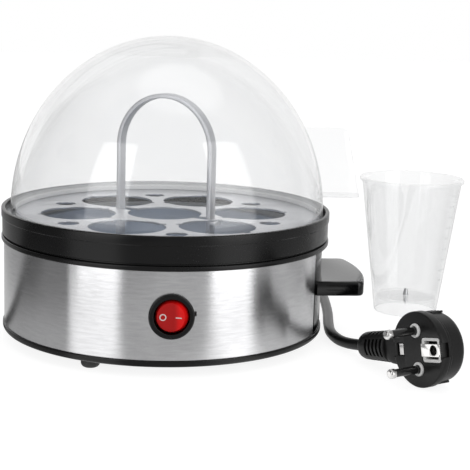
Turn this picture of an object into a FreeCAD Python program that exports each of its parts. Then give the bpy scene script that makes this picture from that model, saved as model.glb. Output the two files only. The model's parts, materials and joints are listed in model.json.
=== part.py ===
"""Electric egg boiler for seven eggs, with its measuring cup and its mains cord.

+Z is up and z = 0 is the surface that it stands on. The boiler's axis is the Z axis,
the switch faces -Y and the side handle points to +X. Lengths are in millimetres.
"""
import FreeCAD, Part
import math
import os
import Sketcher

Vector = FreeCAD.Vector
Rotation = FreeCAD.Rotation
Placement = FreeCAD.Placement

SIZES = {
    # steel band, which the radii of the pieces round it are stepped from
    "band_radius": 87.7, "band_wall": 0.6, "band_bottom": 8.4, "band_height": 45.6,
    # base moulding
    "base_step": 0.8, "base_bottom": 5.0, "base_floor": 2.4, "base_corner": 1.6,
    "recess_inset": 18.5, "recess_depth": 0.8, "spigot_height": 6.0, "spigot_wall": 2.4,
    "fit_gap": 0.3,
    # feet and base screws, on one circle
    "foot_inset": 8.5, "foot_radius": 4.9, "foot_round": 3.2, "stem_radius": 2.0, "stem_gap": 0.1,
    "post_radius": 3.2, "screw_radius": 1.5, "screw_reach": 12.0, "head_radius": 2.8,
    "head_height": 1.2, "screw_gap": 0.15,
    # collar on top of the band
    "flange_step": 1.3, "flange_height": 2.6, "flange_round": 0.6, "groove_step": 0.2,
    "groove_height": 0.9, "collar_web": 2.5, "collar_gap": 1.3,
    # top ring
    "ring_step": 1.3, "ring_height": 14.1, "ring_taper": 0.4, "ring_edge": 4.6,
    "ring_edge_step": 0.15, "ring_wall": 1.2, "ring_lip": 0.4, "ledge_depth": 5.4,
    "ledge_width": 6.9, "ledge_web": 2.0, "skirt_wall": 1.8, "ring_lower_wall": 1.7,
    # water pan and its gasket
    "pan_inset": 5.0, "pan_wall": 1.2, "pan_depth": 15.0, "pan_corner": 8.0,
    "pan_flange_gap": 1.9, "gasket_height": 2.0, "gasket_reach": 0.4, "gasket_width": 2.6,
    # heater under the pan
    "heater_circle": 45.0, "heater_radius": 3.3, "heater_sweep": 320.0, "heater_leg": 9.0,
    "pin_radius": 1.4, "pin_length": 6.0, "seat_gap": 0.1,
    "clamp_half": 49.8, "clamp_width": 12.0, "clamp_sheet": 1.2, "clamp_lip": 4.5,
    "stud_radius": 2.5, "stud_length": 15.0, "nut_radius": 4.6, "nut_height": 4.0,
    "tab_radius": 5.0, "tab_sheet": 0.8, "tab_width": 6.3, "tab_length": 14.0,
    "thermostat_offset": 20.0, "thermostat_radius": 8.0, "thermostat_height": 4.4,
    "cap_radius": 6.4, "blade_width": 4.8, "blade_sheet": 0.8, "blade_length": 7.0,
    "fuse_radius": 2.2, "fuse_length": 11.0, "lead_radius": 0.5, "lead_length": 8.0,
    # terminal block on the base floor
    "block_length": 24.0, "block_width": 13.0, "block_height": 11.0, "block_offset": 46.0,
    "block_hole": 1.8,
    # rocker switch
    "bezel_radius": 11.5, "bezel_height": 2.0, "bezel_round": 1.1,
    "barrel_radius": 10.0, "barrel_depth": 16.0, "switch_gap": 0.2, "well_radius": 8.9,
    "well_depth": 6.0, "key_reach": 12.4, "key_width": 2.2, "key_lift": 1.2, "key_depth": 5.0,
    "rocker_radius": 8.5, "rocker_face_radius": 7.0, "rocker_back": 3.0, "rocker_front": 3.2,
    "rocker_cup_radius": 26.0, "rocker_cup_depth": 0.9, "pivot_depth": 0.8, "rocker_tilt": 8.0,
    "pivot_radius": 1.0, "pivot_reach": 9.3, "pivot_gap": 0.12,
    # side handle
    "panel_half": 36.7, "panel_wall": 2.5, "panel_gap": 0.2, "hook_width": 4.4, "hook_wall": 2.4,
    "grip_length": 23.8, "grip_half": 31.5, "grip_corner": 4.0,
    "grip_bottom": 28.0, "grip_thickness": 8.0, "grip_round": 1.3,
    # egg tray
    "tray_gap": 0.5, "tray_sheet": 1.3, "tray_rim": 19.6, "egg_web": 6.8,
    "egg_turn": 3.0, "notch_radius": 2.2, "notch_turn": 140.0, "steam_inset": 25.5,
    "steam_radius": 5.6, "lobe_radius": 4.3, "lobe_step": 6.7,
    # arch handle of the tray
    "arch_radius": 30.2, "arch_thickness": 2.5, "arch_width": 6.0, "arch_top": 133.4,
    "arch_turn": -33.8, "arch_foot_gap": 0.3, "ear_reach": 3.6, "ear_height": 2.0,
    # lid
    "lid_gap": 0.3, "lid_rise": 95.4, "lid_wall": 2.0, "lid_shift": 1.7, "lid_bead": 2.8,
    "bead_height": 2.8, "dome_lift": 1.5, "fin_thickness": 3.0, "fin_bottom": 10.0, "fin_top": 49.0,
    "fin_step": 22.8, "fin_top_step": 14.8, "fin_corner": 5.0, "fin_lip": 2.4,
    "fin_lip_thickness": 4.4, "fin_sink": 19.8, "vent_radius": 1.4, "vent_azimuth": -47.2,
    "vent_height": 30.8,
    # measuring cup with its pricking pin
    "cup_x": 151.0, "cup_y": 50.0, "cup_height": 82.0, "cup_foot_radius": 19.0,
    "cup_mouth_radius": 30.0, "cup_wall": 1.5, "cup_floor": 9.5, "cup_bead": 1.2,
    "needle_radius": 0.7, "needle_length": 5.2, "boss_radius": 1.8, "boss_height": 4.0,
    # cord, gland and coil
    "cord_radius": 3.0, "gland_height": 18.0, "gland_flange_radius": 7.5, "gland_flange": 2.2,
    "gland_radius": 5.3, "gland_nose": 24.0, "gland_tip_radius": 4.3, "gland_groove": 0.7,
    "gland_inside": 8.0, "gland_clip": 2.3,
    "coil_radius": 39.5, "coil_pitch": 7.8, "coil_turns": 0.875, "floor_gap": 0.1,
    "layer_gap": 0.7, "straight": 18.0,
    # mains plug
    "plug_radius": 18.9, "plug_depth": 17.0, "plug_rim": 6.5, "plug_back_radius": 17.2,
    "plug_round": 4.0, "plug_edge": 0.8, "plug_pin_radius": 2.4, "plug_pin_length": 19.0,
    "plug_pin_spacing": 19.0, "collar_radius": 3.5, "collar_height": 1.1, "contact_width": 12.2,
    "contact_height": 13.0, "contact_sheet": 0.8, "contact_sink": 0.5, "contact_hole": 2.5,
    "contact_lift": 10.2, "clip_width": 6.2, "clip_height": 3.4, "clip_drop": 15.6,
    "slot_width": 8.0, "slot_depth": 2.4, "neck_width": 17.4, "neck_length": 28.0,
    "neck_depth": 14.0, "boot_length": 23.0, "boot_radius": 8.4, "boot_tip_radius": 7.2,
    "boot_end": 6.2, "boot_slots": 5.0, "boot_slot_width": 1.6, "boot_core": 5.9,
    "boot_bridge": 3.2, "boot_round": 2.0,
    "plug_x": 120.0, "plug_y": -104.0, "plug_heading": 116.7, "plug_pitch": 13.0,
    # one overrun for all cuts
    "overrun": 1.0,
}

COUNT_OF_FEET = 3
COUNT_OF_EGG_HOLES = 6
BLADE_SPACING_SHARE = 0.42
BLOCK_HOLE_SHARES = (-0.3, 0.0, 0.3)
FOOT_TURN = 0.0
POST_TURN = 60.0
HEATER_GAP_TURN = 90.0

# Cord routes, chosen by hand. The first goes from the gland to the coil, the second from the coil
# round the boiler and under the side handle to the plug's boot.
TAIL_ROUTE = [(0.0, 129.7, 18.0), (0.0, 161.4, 3.1)]
LEAD_ROUTE = [
    (79.5, 213.0, 6.0), (94.5, 196.5, 3.3), (102.0, 173.0, 3.1), (105.0, 143.0, 3.1),
    (105.5, 113.0, 3.1), (104.5, 85.0, 3.1), (102.5, 57.0, 3.1), (99.5, 30.0, 3.1),
    (95.5, 6.0, 3.1), (92.6, -18.0, 3.1),
]

document = FreeCAD.newDocument("egg_boiler")
sheet = document.addObject("Spreadsheet::Sheet", "sizes")


class Size:
    """A number together with the sheet formula that gives it."""

    def __init__(self, worth, formula):
        self.worth = worth
        self.formula = formula

    def __add__(self, other):
        other = as_size(other)
        return Size(self.worth + other.worth, "(%s + %s)" % (self.formula, other.formula))

    def __sub__(self, other):
        other = as_size(other)
        return Size(self.worth - other.worth, "(%s - %s)" % (self.formula, other.formula))

    def __mul__(self, other):
        other = as_size(other)
        return Size(self.worth * other.worth, "(%s * %s)" % (self.formula, other.formula))

    def __truediv__(self, other):
        other = as_size(other)
        return Size(self.worth / other.worth, "(%s / %s)" % (self.formula, other.formula))

    def __neg__(self):
        return Size(-self.worth, "(-1 * %s)" % self.formula)

    __radd__ = __add__
    __rmul__ = __mul__


def as_size(number):
    """A Size from a plain number, or the Size itself."""
    return number if isinstance(number, Size) else Size(float(number), "%.6g" % number)


def root(size):
    return Size(math.sqrt(size.worth), "sqrt(%s)" % size.formula)


def sine(angle):
    return Size(math.sin(math.radians(angle.worth)), "sin(%s)" % angle.formula)


def cosine(angle):
    return Size(math.cos(math.radians(angle.worth)), "cos(%s)" % angle.formula)


class Sheet:
    """The sheet's cells as Size values, one attribute to an alias."""


def fill_sheet():
    cells = Sheet()
    for row, (name, number) in enumerate(SIZES.items(), start=1):
        sheet.set("A%d" % row, name)
        sheet.set("B%d" % row, "%g" % number)
        sheet.setAlias("B%d" % row, name)
        setattr(cells, name, Size(float(number), "sizes.%s" % name))
    document.recompute()
    return cells


s = fill_sheet()


# Helpers that build document objects from sizes

def bind(item, path, size):
    item.setExpression(path, as_size(size).formula)


def place(item, at=(0, 0, 0), turn=None):
    """Puts an object at a point given in sizes, turned by a fixed or a sheet rotation."""
    at = [as_size(value) for value in at]
    item.Placement = Placement(Vector(*[value.worth for value in at]), turn or Rotation())
    for axis, value in zip("xyz", at):
        item.setExpression("Placement.Base.%s" % axis, value.formula)
    return item


def primitive(kind, name, at, turn, **sizes):
    item = document.addObject(kind, name)
    for path, size in sizes.items():
        setattr(item, path, as_size(size).worth)
        bind(item, path, size)
    return place(item, at, turn)


def cylinder(name, radius, height, at=(0, 0, 0), turn=None):
    return primitive("Part::Cylinder", name, at, turn, Radius=radius, Height=height)


def block(name, length, width, height, at=(0, 0, 0), turn=None):
    """A box whose point `at` is the middle of its bottom before it is turned."""
    item = primitive("Part::Box", name, (0, 0, 0), None, Length=length, Width=width, Height=height)
    turn = turn or Rotation()
    at = [as_size(value) for value in at]
    half = [as_size(length) / -2, as_size(width) / -2, as_size(0)]
    axes = [turn.multVec(Vector(1, 0, 0)), turn.multVec(Vector(0, 1, 0))]
    corner = [at[i] + half[0] * axes[0][i] + half[1] * axes[1][i] for i in range(3)]
    return place(item, corner, turn)


def tube(name, outer, inner, height, at=(0, 0, 0)):
    x, y, z = [as_size(value) for value in at]
    wall = cylinder(name + "_outer", outer, height, at)
    bore = cylinder(name + "_bore", inner, height + s.overrun * 2, (x, y, z - s.overrun))
    return cut(name, wall, bore)


def cut(name, base, tool):
    item = document.addObject("Part::Cut", name)
    item.Base = base
    item.Tool = tool
    return item


def join(name, items):
    item = document.addObject("Part::MultiFuse", name)
    item.Shapes = items
    item.Refine = True
    return item


def shared(name, items):
    item = document.addObject("Part::MultiCommon", name)
    item.Shapes = items
    return item


def group(name, items):
    """Separate solids in one object."""
    item = document.addObject("Part::Compound", name)
    item.Links = items
    return item


def arc_centre(start, end, radius):
    """The centre of the arc of under half a turn that leaves start with its centre on the left,
    or on the right where the radius is negative."""
    chord = end - start
    middle = (start + end) * 0.5
    left = Vector(-chord.y, chord.x, 0).normalize()
    rise = math.sqrt(max(radius * radius - chord.Length ** 2 / 4, 0.0))
    return middle + left * math.copysign(rise, radius)


def angle_of(point, centre):
    return math.atan2(point.y - centre.y, point.x - centre.x)


def draw(sketch, outline):
    """Draws a closed outline and ties each of its points and radii to the sheet.

    Each entry is (x, y), or (x, y, radius) where an arc leads on to the next point."""
    corners = [(as_size(entry[0]), as_size(entry[1])) for entry in outline]
    places = [Vector(x.worth, y.worth, 0) for x, y in corners]
    ends = []
    for index, entry in enumerate(outline):
        start = places[index]
        end = places[(index + 1) % len(places)]
        if len(entry) == 2:
            edge = sketch.addGeometry(Part.LineSegment(start, end), False)
            ends.append((edge, 1, 2))
            continue
        radius = as_size(entry[2])
        centre = arc_centre(start, end, radius.worth)
        circle = Part.Circle(centre, Vector(0, 0, 1), abs(radius.worth))
        leftward = radius.worth > 0
        first, last = (start, end) if leftward else (end, start)
        arc = Part.ArcOfCircle(circle, angle_of(first, centre), angle_of(last, centre))
        edge = sketch.addGeometry(arc, False)
        ends.append((edge, 1, 2) if leftward else (edge, 2, 1))
        bound = radius if leftward else -radius
        index_of_radius = sketch.addConstraint(Sketcher.Constraint("Radius", edge, bound.worth))
        sketch.setExpression("Constraints[%d]" % index_of_radius, bound.formula)
    for index, (edge, head, tail) in enumerate(ends):
        following = ends[(index + 1) % len(ends)]
        sketch.addConstraint(Sketcher.Constraint("Coincident", edge, tail, following[0], following[1]))
        for kind, value in zip(("DistanceX", "DistanceY"), corners[index]):
            fixed = sketch.addConstraint(Sketcher.Constraint(kind, -1, 1, edge, head, value.worth))
            sketch.setExpression("Constraints[%d]" % fixed, value.formula)


def sketch_on(body, name, role, outline, lift=0):
    sketch = body.newObject("Sketcher::SketchObject", name)
    plane = [item for item in body.Origin.OriginFeatures if item.Role == role][0]
    sketch.AttachmentSupport = (plane, [""])
    sketch.MapMode = "FlatFace"
    lift = as_size(lift)
    sketch.AttachmentOffset = Placement(Vector(0, 0, lift.worth), Rotation())
    sketch.setExpression("AttachmentOffset.Base.z", lift.formula)
    draw(sketch, outline)
    return sketch


def turned(name, outline, at=(0, 0, 0), turn=None):
    """A body turned round its own Z axis from an outline of (radius, height) points."""
    body = document.addObject("PartDesign::Body", name)
    sketch = sketch_on(body, name + "_outline", "XZ_Plane", outline)
    feature = body.newObject("PartDesign::Revolution", name + "_turned")
    feature.Profile = sketch
    feature.ReferenceAxis = (sketch, ["V_Axis"])
    feature.Angle = 360
    return place(body, at, turn)


def padded(name, role, outline, length, lift=0, middle=False, at=(0, 0, 0), turn=None):
    """A body padded square to one of its own planes."""
    body = document.addObject("PartDesign::Body", name)
    sketch = sketch_on(body, name + "_outline", role, outline, lift)
    feature = body.newObject("PartDesign::Pad", name + "_pad")
    feature.Profile = sketch
    feature.Midplane = middle
    feature.Length = as_size(length).worth
    bind(feature, "Length", length)
    return place(body, at, turn)


def rounded(body, name, radius, chosen):
    """Rounds those edges of a body's tip that the test picks."""
    document.recompute()
    base = body.Tip
    names = ["Edge%d" % (index + 1) for index, edge in enumerate(base.Shape.Edges) if chosen(edge)]
    feature = body.newObject("PartDesign::Fillet", name)
    feature.Base = (base, names)
    feature.Radius = radius.worth
    bind(feature, "Radius", radius)
    return body


def finished(name, item):
    """Names the object that a file is written from."""
    item.Label = name
    nodes[name] = item
    return item


def made(name, shape, at=None):
    """A part whose shape comes from this script's own path functions."""
    item = document.addObject("Part::Feature", name)
    item.Shape = shape
    if at:
        item.Placement = at
    return finished(name, item)


nodes = {}


# Heights and radii that several pieces share

band_inner = s.band_radius - s.band_wall
band_top = s.band_bottom + s.band_height
spigot_outer = band_inner - s.fit_gap
spigot_inner = spigot_outer - s.spigot_wall
base_radius = s.band_radius + s.base_step
recess_radius = base_radius - s.recess_inset
foot_circle = base_radius - s.foot_inset
flange_radius = s.band_radius + s.flange_step
groove_radius = s.band_radius + s.groove_step
ring_radius = s.band_radius + s.ring_step
ring_foot_radius = ring_radius - s.ring_taper
ring_bore = ring_foot_radius - s.ring_lower_wall
rim_bore = ring_radius - s.ring_wall
ledge_bore = ring_bore - s.ledge_width
pan_radius = ledge_bore - s.pan_inset
pan_flange_radius = ring_bore - s.pan_flange_gap
collar_bore = pan_radius + s.pan_wall + s.collar_gap
gasket_radius = ledge_bore - s.gasket_reach
tray_radius = rim_bore - s.tray_gap
lid_radius = rim_bore - s.lid_shift - s.lid_gap
fin_root = lid_radius - s.fin_sink
fin_reach = lid_radius + s.fin_step
fin_top_reach = lid_radius + s.fin_top_step
switch_height = s.band_bottom + s.band_height / 2
base_top = s.base_bottom + s.base_floor
groove_bottom = band_top + s.flange_height
ring_bottom = groove_bottom + s.groove_height
ring_top = ring_bottom + s.ring_height
ledge_top = ring_top - s.ledge_depth
pan_flange_top = ring_bottom + s.pan_wall
pan_floor_top = pan_flange_top - s.pan_depth
pan_floor_bottom = pan_floor_top - s.pan_wall
gasket_top = pan_flange_top + s.gasket_height
tray_top = ledge_top + s.tray_sheet
heater_height = pan_floor_bottom - s.heater_radius - s.seat_gap
clamp_top = heater_height - s.heater_radius - s.seat_gap
clamp_bottom = clamp_top - s.clamp_sheet
tab_bottom = clamp_bottom - s.tab_sheet
outward = Rotation(Vector(1, 0, 0), 90)
backward = Rotation(Vector(1, 0, 0), -90)


def round_places(circle, count, start):
    """Points spaced evenly on a circle, as sizes."""
    steps = [as_size(start + 360.0 * index / count) for index in range(count)]
    return [(circle * cosine(step), circle * sine(step)) for step in steps]


foot_places = round_places(foot_circle, COUNT_OF_FEET, FOOT_TURN)
post_places = round_places(foot_circle, COUNT_OF_FEET, POST_TURN)


def build_base():
    outline = [
        (0, s.base_bottom + s.recess_depth), (recess_radius, s.base_bottom + s.recess_depth),
        (recess_radius + s.recess_depth, s.base_bottom),
        (base_radius - s.base_corner, s.base_bottom, s.base_corner),
        (base_radius, s.base_bottom + s.base_corner), (base_radius, s.band_bottom),
        (spigot_outer, s.band_bottom), (spigot_outer, s.band_bottom + s.spigot_height),
        (spigot_inner, s.band_bottom + s.spigot_height), (spigot_inner, base_top),
        (recess_radius, base_top), (recess_radius - s.recess_depth, base_top + s.recess_depth),
        (0, base_top + s.recess_depth),
    ]
    moulding = turned("base_moulding", outline)
    half = s.gland_flange_radius + s.fit_gap
    holes = [handle_gap("base", s.band_bottom, s.spigot_height + s.overrun),
             block("base_gland_gap", half * 2, s.spigot_wall * 3, s.spigot_height + s.overrun,
                   (0, spigot_outer - s.spigot_wall, s.band_bottom))]
    for index, (x, y) in enumerate(foot_places):
        holes.append(cylinder("stem_hole_%d" % index, s.stem_radius + s.stem_gap,
                              s.base_floor + s.overrun * 2, (x, y, s.base_bottom - s.overrun)))
    for index, (x, y) in enumerate(post_places):
        holes.append(cylinder("screw_hole_%d" % index, s.screw_radius + s.screw_gap,
                              s.base_floor + s.overrun * 2, (x, y, s.base_bottom - s.overrun)))
        holes.append(cylinder("head_hole_%d" % index, s.head_radius + s.fit_gap,
                              s.head_height + s.overrun, (x, y, s.base_bottom - s.overrun)))
    finished("base_cover", cut("base_cut", moulding, group("base_holes", holes)))


def handle_gap(name, bottom, height):
    """The space that the handle's panel and its hooks need in a spigot."""
    half = s.panel_half + s.hook_width + s.fit_gap
    return block(name + "_handle_gap", s.band_radius, half * 2, height,
                 (s.band_radius, 0, bottom))


def build_feet_and_screws():
    foot = [
        (0, 0), (s.foot_radius - s.foot_round, 0, s.foot_round), (s.foot_radius, s.foot_round),
        (s.foot_radius, s.base_bottom), (s.stem_radius, s.base_bottom), (s.stem_radius, base_top),
        (0, base_top),
    ]
    feet = [turned("foot_%d" % index, foot, (x, y, 0)) for index, (x, y) in enumerate(foot_places)]
    finished("feet", group("foot_set", feet))
    seat = s.base_bottom + s.head_height
    screw = [
        (0, s.base_bottom), (s.head_radius, s.base_bottom), (s.head_radius, seat),
        (s.screw_radius, seat), (s.screw_radius, seat + s.screw_reach), (0, seat + s.screw_reach),
    ]
    screws = [turned("screw_%d" % i, screw, (x, y, 0)) for i, (x, y) in enumerate(post_places)]
    finished("base_screws", group("screw_set", screws))


def build_band():
    wall = tube("band_wall_tube", s.band_radius, band_inner, s.band_height, (0, 0, s.band_bottom))
    half = s.panel_half + s.panel_gap
    opening = block("band_opening", s.band_radius, half * 2, s.band_height + s.overrun * 2,
                    (s.band_radius, 0, s.band_bottom - s.overrun))
    reach = s.band_radius + s.overrun
    switch_hole = cylinder("switch_hole", s.barrel_radius + s.switch_gap, reach,
                           (0, 0, switch_height), outward)
    key_hole = block("key_hole", s.key_reach + s.fit_gap, reach, s.key_width + s.switch_gap * 2,
                     ((s.key_reach + s.fit_gap) / 2, -(reach / 2),
                      switch_height + s.key_lift - s.key_width / 2 - s.switch_gap))
    cord_hole = cylinder("cord_hole", s.gland_radius + s.switch_gap, reach,
                         (0, 0, s.gland_height), backward)
    holes = group("band_holes", [opening, switch_hole, key_hole, cord_hole])
    finished("steel_band", cut("band_cut", wall, holes))


def build_collar():
    under = ring_bottom - s.collar_web / 2
    outline = [
        (collar_bore, ring_bottom - s.collar_web), (spigot_inner, ring_bottom - s.collar_web),
        (spigot_inner, band_top - s.spigot_height), (spigot_outer, band_top - s.spigot_height),
        (spigot_outer, band_top), (flange_radius - s.flange_round, band_top, s.flange_round),
        (flange_radius, band_top + s.flange_round),
        (flange_radius, groove_bottom - s.flange_round, s.flange_round),
        (flange_radius - s.flange_round, groove_bottom), (groove_radius, groove_bottom),
        (groove_radius, ring_bottom), (collar_bore, ring_bottom),
    ]
    ring = turned("collar_ring", outline)
    gap = handle_gap("collar", band_top - s.spigot_height - s.overrun,
                     s.spigot_height + s.overrun)
    posts = []
    pilots = []
    for index, (x, y) in enumerate(post_places):
        posts.append(cylinder("post_%d" % index, s.post_radius, under - base_top, (x, y, base_top)))
        pilots.append(cylinder("pilot_%d" % index, s.screw_radius + s.screw_gap / 2,
                               s.screw_reach + s.overrun * 2, (x, y, base_top - s.overrun)))
    trimmed = cut("collar_trim", ring, gap)
    whole = join("collar_joined", [trimmed] + posts)
    finished("band_collar", cut("collar_cut", whole, group("pilot_set", pilots)))


def build_top_ring():
    edge = ring_top - s.ring_edge
    lip = s.ring_lip
    outline = [
        (ring_bore, ring_bottom), (ring_foot_radius - lip, ring_bottom, lip),
        (ring_foot_radius, ring_bottom + lip), (ring_radius - s.ring_edge_step, edge - lip),
        (ring_radius, edge), (ring_radius, ring_top - lip, lip),
        (ring_radius - lip, ring_top), (rim_bore + lip, ring_top, lip),
        (rim_bore, ring_top - lip), (rim_bore, ledge_top), (ledge_bore, ledge_top),
        (ledge_bore, gasket_top), (ledge_bore + s.skirt_wall, gasket_top),
        (ledge_bore + s.skirt_wall, ledge_top - s.ledge_web), (ring_bore, ledge_top - s.ledge_web),
    ]
    finished("top_ring", turned("ring_body", outline))


def build_pan():
    outer = pan_radius + s.pan_wall
    outer_corner = s.pan_corner + s.pan_wall
    flat = pan_radius - s.pan_corner
    bend = pan_floor_top + s.pan_corner
    outline = [
        (0, pan_floor_bottom), (flat, pan_floor_bottom, outer_corner), (outer, bend),
        (outer, ring_bottom), (pan_flange_radius, ring_bottom),
        (pan_flange_radius, pan_flange_top), (pan_radius, pan_flange_top),
        (pan_radius, bend, -s.pan_corner), (flat, pan_floor_top), (0, pan_floor_top),
    ]
    finished("heating_pan", turned("pan_body", outline))
    seal = tube("seal", gasket_radius + s.gasket_width, gasket_radius, s.gasket_height,
                (0, 0, pan_flange_top))
    finished("pan_gasket", seal)


def build_heater():
    ring = primitive("Part::Torus", "heater_ring", (0, 0, heater_height),
                     Rotation(Vector(0, 0, 1), HEATER_GAP_TURN + 180 - s.heater_sweep.worth / 2),
                     Radius1=s.heater_circle,
                     Radius2=s.heater_radius, Angle3=s.heater_sweep)
    pieces = [ring]
    pins = []
    gap = as_size(360) - s.heater_sweep
    middle = as_size(HEATER_GAP_TURN)
    for index, angle in enumerate((middle - gap / 2, middle + gap / 2)):
        x = s.heater_circle * cosine(angle)
        y = s.heater_circle * sine(angle)
        pieces.append(primitive("Part::Sphere", "elbow_%d" % index, (x, y, heater_height), None,
                                Radius=s.heater_radius))
        pieces.append(cylinder("heater_leg_%d" % index, s.heater_radius, s.heater_leg,
                               (x, y, heater_height - s.heater_leg)))
        pins.append(cylinder("heater_pin_%d" % index, s.pin_radius, s.pin_length,
                             (x, y, heater_height - s.heater_leg - s.pin_length)))
    finished("heating_element", join("heater_joined", pieces))
    finished("element_pins", group("pin_set", pins))


def build_clamp():
    lip = s.clamp_lip
    half = s.clamp_half
    sheet_edge = half - s.clamp_sheet
    outline = [
        (-half, clamp_bottom), (half, clamp_bottom), (half, clamp_bottom + lip),
        (sheet_edge, clamp_bottom + lip), (sheet_edge, clamp_top), (-sheet_edge, clamp_top),
        (-sheet_edge, clamp_bottom + lip), (-half, clamp_bottom + lip),
    ]
    strap = padded("strap", "XZ_Plane", outline, s.clamp_width, middle=True)
    stud_hole = cylinder("strap_hole", s.stud_radius + s.stem_gap, s.clamp_sheet + s.overrun * 2,
                         (0, 0, clamp_bottom - s.overrun))
    finished("element_clamp", cut("strap_cut", strap, stud_hole))
    finished("pan_stud", cylinder("stud", s.stud_radius, s.stud_length,
                                  (0, 0, pan_floor_bottom - s.stud_length)))
    nut = primitive("Part::Prism", "nut_blank", (0, 0, tab_bottom - s.nut_height), None,
                    Circumradius=s.nut_radius, Height=s.nut_height)
    nut.Polygon = 6
    nut_bore = cylinder("nut_bore", s.stud_radius + s.stem_gap, s.nut_height + s.overrun * 2,
                        (0, 0, tab_bottom - s.nut_height - s.overrun))
    finished("clamp_nut", cut("nut_cut", nut, nut_bore))
    washer = cylinder("tab_washer", s.tab_radius, s.tab_sheet, (0, 0, tab_bottom))
    blade = block("tab_blade", s.tab_width, s.tab_length, s.tab_sheet,
                  (0, s.tab_length / 2, tab_bottom))
    tab_bore = cylinder("tab_bore", s.stud_radius + s.stem_gap, s.tab_sheet + s.overrun * 2,
                        (0, 0, tab_bottom - s.overrun))
    finished("earth_tab", cut("tab_cut", join("tab_joined", [washer, blade]), tab_bore))


def build_thermal_parts():
    x = s.thermostat_offset
    shell = cylinder("thermostat_shell", s.thermostat_radius, s.thermostat_height, (x, 0, clamp_top))
    cap_bottom = clamp_top + s.thermostat_height
    cap = cylinder("thermostat_cap", s.cap_radius, pan_floor_bottom - s.seat_gap - cap_bottom,
                   (x, 0, cap_bottom))
    reach = s.thermostat_radius + s.blade_length
    blades = block("thermostat_blades", s.blade_width, reach * 2, s.blade_sheet,
                   (x, 0, clamp_top + s.thermostat_height / 2))
    finished("thermostat", join("thermostat_joined", [shell, cap, blades]))
    height = clamp_top + s.fuse_radius
    fuse = cylinder("fuse_body", s.fuse_radius, s.fuse_length,
                    (-x, s.fuse_length / 2, height), outward)
    lead = s.fuse_length / 2 + s.lead_length
    leads = cylinder("fuse_leads", s.lead_radius, lead * 2, (-x, lead, height), outward)
    finished("thermal_fuse", join("fuse_joined", [fuse, leads]))


def build_terminal_block():
    floor = base_top + s.recess_depth
    body = block("block_body", s.block_length, s.block_width, s.block_height,
                 (0, s.block_offset, floor))
    holes = []
    for index, share in enumerate(BLOCK_HOLE_SHARES):
        holes.append(cylinder("block_hole_%d" % index, s.block_hole, s.block_width + s.overrun * 2,
                              (s.block_length * share, s.block_offset + s.block_width / 2 + s.overrun,
                               floor + s.block_height / 2), outward))
    finished("terminal_block", cut("block_cut", body, group("block_holes", holes)))


def build_switch():
    well = s.well_radius
    edge = s.bezel_height - s.bezel_round
    outline = [
        (0, -s.barrel_depth), (s.barrel_radius, -s.barrel_depth), (s.barrel_radius, 0),
        (s.bezel_radius, 0), (s.bezel_radius, edge, s.bezel_round),
        (s.bezel_radius - s.bezel_round, s.bezel_height), (well + s.fit_gap, s.bezel_height),
        (well, s.bezel_height - s.fit_gap), (well, -s.well_depth), (0, -s.well_depth),
    ]
    at = (0, -s.band_radius, switch_height)
    housing = turned("switch_housing", outline, at, outward)
    key_inner = s.barrel_radius - s.overrun
    key = block("switch_key", s.key_reach - key_inner, s.key_depth, s.key_width,
                ((s.key_reach + key_inner) / 2,
                 s.key_depth / 2 + s.fit_gap * 2 - s.band_radius,
                 switch_height + s.key_lift - s.key_width / 2))
    reach = s.pivot_reach + s.switch_gap
    sockets = cylinder("pivot_sockets", s.pivot_radius + s.pivot_gap, reach * 2,
                       (0, s.pivot_depth - s.band_radius, switch_height - reach))
    finished("switch_body", cut("switch_cut", join("switch_joined", [housing, key]), sockets))
    blades = []
    for index, step in enumerate((-1, 0, 1)):
        blades.append(block("switch_blade_%d" % index, s.blade_sheet, s.blade_length, s.blade_width,
                            (s.barrel_radius * BLADE_SPACING_SHARE * step,
                             s.barrel_depth + s.blade_length / 2 - s.band_radius,
                             switch_height - s.blade_width / 2)))
    finished("switch_terminals", group("blade_set", blades))


def build_rocker():
    """The rocker, tilted about its upright pivot so that its left side is pressed in."""
    back = s.rocker_back - s.pivot_depth
    front = s.rocker_front + s.pivot_depth
    tilt = Rotation(Vector(1, 0, 0), 90).multiply(Rotation(Vector(0, 1, 0), -s.rocker_tilt.worth))
    axis = (0, s.pivot_depth - s.band_radius, switch_height)
    outline = [
        (0, -back), (s.rocker_radius, -back), (s.rocker_radius, 0),
        (s.rocker_face_radius, front), (0, front),
    ]
    cone = turned("rocker_cone", outline)
    dish = cylinder("rocker_dish", s.rocker_cup_radius, s.rocker_radius * 4,
                    (0, s.rocker_radius * 2, front + s.rocker_cup_radius - s.rocker_cup_depth),
                    Rotation(Vector(1, 0, 0), 90))
    pins = cylinder("rocker_pins", s.pivot_radius, s.pivot_reach * 2,
                    (0, s.pivot_reach, 0), Rotation(Vector(1, 0, 0), 90))
    rocker = join("rocker_joined", [cut("rocker_cut", cone, dish), pins])
    place(rocker, axis, tilt)
    finished("switch_rocker", rocker)


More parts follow.
